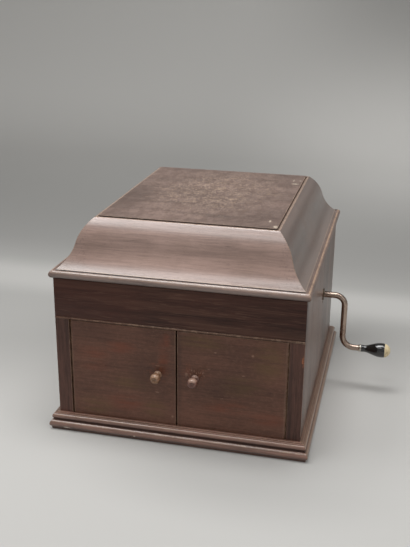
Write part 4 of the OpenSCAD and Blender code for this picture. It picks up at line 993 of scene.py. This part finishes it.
class DressCase(Dress):
    """Side panels, back, bottom, stiles and rails of the case."""
    bl_idname = "gramophone.dress_case"
    bl_label = "Case"
    eases = (("case_side", 0.0008, 3, "left_side_panel", "right_side_panel"),
             ("case_side", 0.0006, 3, "back_panel"),
             ("bare", 0.0005, 3, "bottom_board"),
             ("case_upright", 0.0003, 3, "front_stiles"),
             ("case_front", 0.0006, 3, "front_bottom_rail"),
             ("bare", 0.0006, 3, "motor_board_cleats"))

    def build(self, context):
        stiles = bpy.data.objects["front_stiles_eased"]
        # Painted light on the stiles' inner faces, to lift the shade in the gaps by the doors.
        mark(stiles, 0.6, lambda face: abs(face.normal.x) > 0.9
             and abs(face.center.x) < STILE_INNER + 0.001)
        for vert in stiles.data.vertices:
            if abs(abs(vert.co.x) - STILE_INNER) < 0.0004:
                vert.co.x -= math.copysign(DOOR_PLAY, vert.co.x)
        self.top_rail()

    def top_rail(self):
        """The rail over the doors, with a bead along its lower edge."""
        bead = (-HALF_D + 0.00054, OPENING_TOP + RAIL_BEAD_R)
        top = OPENING_TOP + 2 * RAIL_BEAD_R
        section = [(RAIL_BACK, OPENING_TOP), (RAIL_BACK, BODY_TOP), (-HALF_D + 0.0006, BODY_TOP),
                   (-HALF_D, BODY_TOP - 0.0006), (-HALF_D, top + 0.0008),
                   (-HALF_D + 0.0002, top + 0.0002), (-HALF_D + 0.0009, top)]
        section += arc(bead, RAIL_BEAD_R, 78, 270, 22)
        bm = bmesh.new()
        rings = []
        for x in (-HALF_W, -HALF_W + 0.0005, HALF_W - 0.0005, HALF_W):
            ease = 0.0004 if abs(x) == HALF_W else 0
            rings.append([bm.verts.new((x, y + ease * (y < RAIL_BACK), z)) for y, z in section])
        skinned(bm, rings)
        layer = edge_layer(bm)
        # The bead is marked pale along its length: worn, and a painted highlight.
        for face in bm.faces:
            middle = face.calc_center_median()
            if len(face.verts) == 4 and middle.z < top and middle.y < DOOR_FACE:
                set_mark(face, layer, 0.6)
        make("top_rail", "case_front", bm, 38, "front_top_rail")


class DressBase(Dress):
    """The base moulding on the four sides."""
    bl_idname = "gramophone.dress_base"
    bl_label = "Base moulding"

    def build(self, context):
        for name, sides, finish in (("base_moulding_front", (0,), "moulding"),
                                    ("base_moulding_sides", (1, 3), "moulding_side"),
                                    ("base_moulding_back", (2,), "moulding")):
            bm = bmesh.new()
            for side in sides:
                mitred(bm, side, 2 * HALF_W, 2 * HALF_D, base_profile(), 0, 0.00012, base_wear_and_painted_light)
            make(name + "_run", finish, bm, 40, name)


class DressDoors(Dress):
    """The doors with rubbed edges and painted light on the rounds of their hinge edges, their
    turned knobs and the head of a pin.
    """
    bl_idname = "gramophone.dress_doors"
    bl_label = "Doors"

    def build(self, context):
        for name, side in (("left_door", -1), ("right_door", 1)):
            leaf = eased(name, "door", 0.0005)
            # Painted light on the rounded hinge edges, stronger where they turn further from the
            # front, to lift their shade.
            for amount, lean in ((0.30, 0.15), (0.55, 0.50), (0.95, 0.72)):
                mark(leaf, amount, lambda face: face.normal.y < 0 and abs(face.normal.x) > lean
                     and abs(face.center.x) > DOOR_X - 0.007)
            at_door = facing((side * KNOB_X, DOOR_FACE, KNOB_Z), (0, -1, 0))
            bm = bmesh.new()
            turned(bm, self.knob_profile(), at_door, 72)
            make(name + "_knob_turned", "knob", bm, 50, name + "_knob")
        bm = bmesh.new()
        turned(bm, [(-0.001, 0.0010), (0.0001, 0.0010), (0.0003, 0.0008), (0.0004, 0.0004),
                    (0.00045, 0)], facing((-DOOR_X + 0.0014, DOOR_FACE, 0.2069), (0, -1, 0)), 20)
        make("left_door_pin_head", "brass", bm, 35, body="left_door_leaf")

    def knob_profile(self):
        """Neck, ball and a slightly domed face; radii are shares of the knob's own."""
        half = (KNOB_REACH - 0.0112) / 2
        middle = KNOB_REACH - 0.0003 - half
        neck = ((0, 0), (0, 0.72), (0.0005, 0.79), (0.0014, 0.80), (0.0021, 0.72), (0.0027, 0.60),
                (0.0040, 0.51), (0.0058, 0.475), (0.0076, 0.48), (0.0094, 0.53), (0.0106, 0.60))
        face = ((0.0006, 0.44), (0.0014, 0.34), (0.0022, 0.20), (0.0025, 0))
        turns = [math.radians(-66 + 156 * i / 18) for i in range(19)]
        ball = [(middle + half * math.sin(a), 0.50 + 0.50 * math.cos(a)) for a in turns]
        line = [*neck, *ball, *((KNOB_REACH - back, share) for back, share in face)]
        return [(along, KNOB_R * share) for along, share in line]


class DressLid(Dress):
    """The bullnosed rim, the ogee boards and the let-in top of the lid."""
    bl_idname = "gramophone.dress_lid"
    bl_label = "Lid"

    def build(self, context):
        bm = bmesh.new()
        for side in range(4):
            mitred(bm, side, 2 * HALF_W, LID_D, rim_profile(), LID_MID_Y, 0.00006,
                   side_rim_wear_and_highlight if side % 2 else rim_wear_and_painted_light)
        cut_hinge_pockets(make("lid_rim_run", "lid_rim", bm, 40, "lid_rim"))
        for side, name in enumerate(("front", "right", "back", "left")):
            finish = "lid_side" if side % 2 else "lid_front"
            bm = bmesh.new()
            mitred(bm, side, 2 * HALF_W, LID_D, ogee_profile(), LID_MID_Y, 0.00010, ogee_wear_and_painted_light, 0.8)
            make(f"ogee_{name}", finish, bm, 40, f"lid_{name}_board")
        top = eased("lid_top_panel", "lid_top", 0.0009, 2)
        # Painted shade on the panel's edges, down in the groove round it.
        mark(top, -0.8, lambda face: abs(face.normal.z) < 0.5
             and LID_TOP - 0.006 < face.center.z < PANEL_TOP - 0.0005)
        mark(top, 0.0, lambda face: face.center.x < -HALF_W + PANEL_INSET + 0.0035)


def cut_hinge_pockets(rim):
    """Takes the hinges' pockets out of the rim."""
    for x in (-HINGE_X, HINGE_X):
        bm = bmesh.new()
        bmesh.ops.create_cube(bm, size=1, matrix=Matrix.Translation((x, 0.2404, LID_SEAT + 0.0008))
                              @ Matrix.Diagonal((0.0502, 0.0262, 0.0034, 1)))
        turned(bm, [(-0.0254, 0), (-0.0254, 0.0034), (0.0254, 0.0034), (0.0254, 0)],
               facing((x, HINGE_Y, HINGE_Z), (1, 0, 0)), 32)
        cutter = placed("cutter", as_mesh("cutter", bm))
        cut = rim.modifiers.new("pocket", "BOOLEAN")
        cut.operation = "DIFFERENCE"
        cut.solver = "EXACT"
        cut.use_self = True
        cut.object = cutter
        depsgraph = bpy.context.evaluated_depsgraph_get()
        mesh = bpy.data.meshes.new_from_object(rim.evaluated_get(depsgraph), depsgraph=depsgraph)
        rim.modifiers.clear()
        rim.data = mesh
        bpy.data.objects.remove(cutter)


class DressCrank(Dress):
    """The crank's rod with its bends and ferrule, the bulb grip, its cap and the escutcheon."""
    bl_idname = "gramophone.dress_crank"
    bl_label = "Crank"

    def build(self, context):
        grip_end = facing((GRIP_AT, CRANK_Y, GRIP_Z), (1, 0, 0))
        bm = bmesh.new()
        swept(bm, [(x, CRANK_Y, z) for x, z in self.rod_line()], ROD_R, 40)
        turned(bm, [(0, 0), (0, 0.0032), (0.0385, 0.0032), (0.039, 0.0028), (0.039, 0)],
               grip_end, 32)
        make("crank_rod_bent", "rod", bm, 50, "crank_rod")
        bm = bmesh.new()
        turned(bm, [(-0.0050, 0), (-0.0050, 0.0066), (-0.0046, 0.0070), (-0.0039, 0.0071),
                    (-0.0036, 0.0067), (-0.0032, 0.0068), (-0.0029, 0.0077), (-0.0022, 0.0080),
                    (-0.0014, 0.0080), (-0.0007, 0.0078), (-0.0003, 0.0074), (0, 0.0066), (0, 0)],
               grip_end, 48)
        make("crank_ferrule", "bright", bm, 50, body="crank")

        bulb = smooth_curve([(0.0004, 0.0071), (0.0030, 0.0069), (0.0065, 0.0065), (0.0110, 0.0072),
                             (0.0150, 0.0085), (0.0190, 0.0099), (0.0230, 0.0112), (0.0270, 0.0125),
                             (0.0310, 0.0135), (0.0350, 0.0140), (0.0385, 0.0142), (0.0420, 0.0140),
                             (0.0449, 0.0134)], 4)
        bm = bmesh.new()
        turned(bm, [(0.0004, 0), (0.0004, 0.0064)] + bulb + [(0.0449, 0)], grip_end, 72)
        make("crank_grip_bulb", "lacquer", bm, 50, "crank_grip")
        dome = smooth_curve([(0.0450, 0.0132), (0.0470, 0.0127), (0.0490, 0.0118), (0.0507, 0.0107),
                             (0.0524, 0.0092), (0.0540, 0.0071), (0.0551, 0.0049), (0.0557, 0.0025),
                             (0.0559, 0.0)], 4)
        bm = bmesh.new()
        turned(bm, [(0.0450, 0)] + dome, grip_end, 72)
        make("grip_cap_dome", "cream", bm, 50, "grip_end_cap")
        self.escutcheon()

    def rod_line(self):
        """The rod's middle line from the socket to the grip, as (x, z)."""
        arm = (ARM_AT - ARM_BEND, CRANK_Z - ARM_BEND)
        grip = (ARM_AT + GRIP_BEND, GRIP_Z + GRIP_BEND)
        return ([(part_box("crank_rod")[0].x, CRANK_Z), (0.200, CRANK_Z), (0.225, CRANK_Z)]
                + arc(arm, ARM_BEND, 90, 0, 16)
                + [(ARM_AT, CRANK_Z - 0.040), (ARM_AT, GRIP_Z + 0.040)]
                + arc(grip, GRIP_BEND, 180, 270, 18)
                + [(GRIP_AT - 0.008, GRIP_Z), (GRIP_AT - 0.003, GRIP_Z)])

    def escutcheon(self):
        """The flange round the rod, its tube through the side panel, and four screws."""
        at_panel = facing((HALF_W, CRANK_Y, CRANK_Z), (1, 0, 0))
        hole = ROD_R + 0.00006
        bm = bmesh.new()
        ring(bm, [(0, hole), (0, 0.0112), (0.0010, 0.0114), (0.0016, 0.0112), (0.0021, 0.0100),
                  (0.0024, 0.0082), (0.0024, hole)], at_panel, 64)
        ring(bm, [(-0.021, hole), (-0.021, 0.01265), (-0.018, 0.01265), (-0.018, 0.0087),
                  (0, 0.0087), (0, hole)], at_panel, 48)
        for k in range(3):
            a = math.radians(90 + 120 * k)
            point = (HALF_W + 0.0018, CRANK_Y + 0.0096 * math.cos(a),
                     CRANK_Z + 0.0096 * math.sin(a))
            screw_head(bm, facing(point, (1, 0, 0)), 0.0012, 0.0004, k)
        ear = (HALF_W, CRANK_Y - 0.0062, CRANK_Z - 0.0136)
        screw_head(bm, facing(ear, (1, 0, 0)), 0.0024, 0.0008, 0.6)
        make("crank_escutcheon_turned", "dull", bm, 40, "crank_escutcheon")


class DressHardware(Dress):
    """Hinges, pivot pins, stay and the stay's guide, with their screws."""
    bl_idname = "gramophone.dress_hardware"
    bl_label = "Hinges and stay"
    eases = (("brass", 0.0002, 2, "door_pivot_pins", "lid_hinge_lower_leaves",
              "lid_hinge_upper_leaves", "lid_stay", "lid_stay_guide"),)

    def build(self, context):
        bm = bmesh.new()
        for x in (-HINGE_X, HINGE_X):
            for dx in (-0.018, 0, 0.018):
                screw_head(bm, facing((x + dx, HALF_D + 0.0014, 0.2705), (0, 1, 0)), 0.0028, 0.0006)
        make("hinge_screws", "brass", bm, 35, body="cabinet")


class DressDeck(Dress):
    """The motor board, needle cups, tonearm base, speed knob and stop lever."""
    bl_idname = "gramophone.dress_deck"
    bl_label = "Deck"
    eases = (("deck", 0.0006, 3, "motor_board"),
             ("nickel", 0.0004, 2, "needle_cups", "tonearm_base", "speed_knob", "brake_lever"))


class DressHorn(Dress):
    """The boards of the horn and its iron elbow."""
    bl_idname = "gramophone.dress_horn"
    bl_label = "Horn"
    eases = (("bare", 0.0005, 2, "horn_top_board", "horn_bottom_board", "horn_side_boards"),
             ("iron", 0.0005, 2, "horn_elbow"))


class DressPlatter(Dress):
    """Turntable, felt and spindle."""
    bl_idname = "gramophone.dress_platter"
    bl_label = "Turntable"
    eases = (("nickel", 0.0005, 2, "turntable"), ("felt", 0.0003, 2, "turntable_felt"))
    coats = (("steel", "spindle"),)


class DressTonearm(Dress):
    """Tonearm, gooseneck, sound box, needle and its screw."""
    bl_idname = "gramophone.dress_tonearm"
    bl_label = "Tonearm"
    eases = (("nickel", 0.0004, 2, "tonearm", "gooseneck", "sound_box"),
             ("brass", 0.0003, 2, "needle_screw"))
    coats = (("mica", "diaphragm"), ("steel", "stylus_bar", "needle"))


class DressMotor(Dress):
    """The spring motor under the board."""
    bl_idname = "gramophone.dress_motor"
    bl_label = "Motor"
    eases = (("iron", 0.0004, 2, "motor_plate", "motor_frame"),
             ("steel", 0, 0, "governor_shaft"), ("brass", 0, 0, "governor_weights"))
    coats = (("steel", "winding_shaft", "winding_pawl", "spring_barrel", "mainspring",
              "friction_lever"), ("brass", "winding_wheel", "intermediate_gear"))


class SetStage(Dress):
    """Floor, lights, room and the camera at the photograph's place."""
    bl_idname = "gramophone.set_stage"
    bl_label = "Stage"

    def build(self, context):
        scene = context.scene
        settings = scene.gramophone_stage
        self.floor(settings)
        for k, x in enumerate((-1.05, -0.20, 0.65)):
            self.lamp(f"overhead_{k}", (x, -0.10, 2.30), (x * 0.6, -0.05, 0.2), (0.60, 2.2),
                      settings.key_power)
        self.lamp("strip", (-0.45, -0.95, 2.10), (-0.25, -0.25, 0.3), (1.7, 0.45),
                  settings.strip_power)
        self.lamp("fill", (2.2, -1.4, 1.4), (0, 0, 0.2), (1.6, 1.6), settings.fill_power)
        world = bpy.data.worlds.new("room")
        scene.world = world
        world.use_nodes = True
        back = world.node_tree.nodes["Background"]
        back.inputs["Color"].default_value = (1.0, 0.99, 0.98, 1)
        back.inputs["Strength"].default_value = settings.room
        scene.view_settings.view_transform = "Standard"
        scene.view_settings.look = "None"
        scene.camera = self.camera(settings)

    def floor(self, settings):
        """A floor that bends up into a backdrop far behind the object."""
        bend = [math.radians(6 * i) for i in range(1, 16)]
        section = ([(-6.0, 0.0), (2.0, 0.0)]
                   + [(2.0 + 1.4 * math.sin(a), 1.4 - 1.4 * math.cos(a)) for a in bend]
                   + [(3.4, 5.0)])
        bm = bmesh.new()
        rows = [[bm.verts.new((x, y, z - 0.0002)) for x in (-7, 7)] for y, z in section]
        for a, b in zip(rows, rows[1:]):
            bm.faces.new((a[0], a[1], b[1], b[0]))
        mesh = bpy.data.meshes.new("floor")
        bm.to_mesh(mesh)
        bm.free()
        mesh.shade_smooth()
        mesh.materials.append(paper("floor_paper", settings.floor_tone))
        placed("floor", mesh)

    def lamp(self, name, at, target, size, power):
        light = bpy.data.lights.new(name, "AREA")
        light.shape = "RECTANGLE"
        light.size, light.size_y = size
        light.energy = power
        lamp = placed(name, light)
        lamp.location = at
        lamp.rotation_euler = (Vector(target) - Vector(at)).to_track_quat("-Z", "Y").to_euler()

    def camera(self, settings):
        """The camera that was fitted to the cabinet's corners in the photograph."""
        yaw, pitch, roll = (math.radians(a) for a in (-13.29, 19.94, 0.56))
        data = bpy.data.cameras.new("camera")
        data.lens = settings.lens
        data.sensor_width = 36
        camera = placed("camera", data)
        camera.matrix_world = (Matrix.Translation((0.3408, -1.4886, 0.7771))
                               @ Matrix.Rotation(-yaw, 4, "Z")
                               @ Matrix.Rotation(math.radians(90) - pitch, 4, "X")
                               @ Matrix.Rotation(roll, 4, "Z"))
        return camera


DRESSING = (DressCase, DressBase, DressDoors, DressLid, DressCrank, DressHardware, DressDeck,
            DressHorn, DressPlatter, DressTonearm, DressMotor, SetStage)
GROUPS = {"gramophone_wood": WoodSettings, "gramophone_metal": MetalSettings,
          "gramophone_stage": StageSettings}


class GramophonePanel(bpy.types.Panel):
    """Lists the dressing steps and their settings."""
    bl_idname = "VIEW3D_PT_gramophone"
    bl_label = "Gramophone"
    bl_space_type = "VIEW_3D"
    bl_region_type = "UI"
    bl_category = "Gramophone"

    def draw(self, context):
        for name in GROUPS:
            group = getattr(context.scene, name)
            for key in group.bl_rna.properties.keys():
                if key not in ("rna_type", "name"):
                    self.layout.prop(group, key)
        for step in DRESSING:
            self.layout.operator(step.bl_idname)


CLASSES = (*GROUPS.values(), *DRESSING, GramophonePanel)


def register():
    for cls in CLASSES:
        bpy.utils.register_class(cls)
    for name, group in GROUPS.items():
        setattr(bpy.types.Scene, name, PointerProperty(type=group))


def unregister():
    for name in GROUPS:
        delattr(bpy.types.Scene, name)
    for cls in reversed(CLASSES):
        bpy.utils.unregister_class(cls)


def main():
    register()
    for step in DRESSING:
        group, name = step.bl_idname.split(".")
        getattr(getattr(bpy.ops, group), name)()


if __name__ == "__main__":
    main()
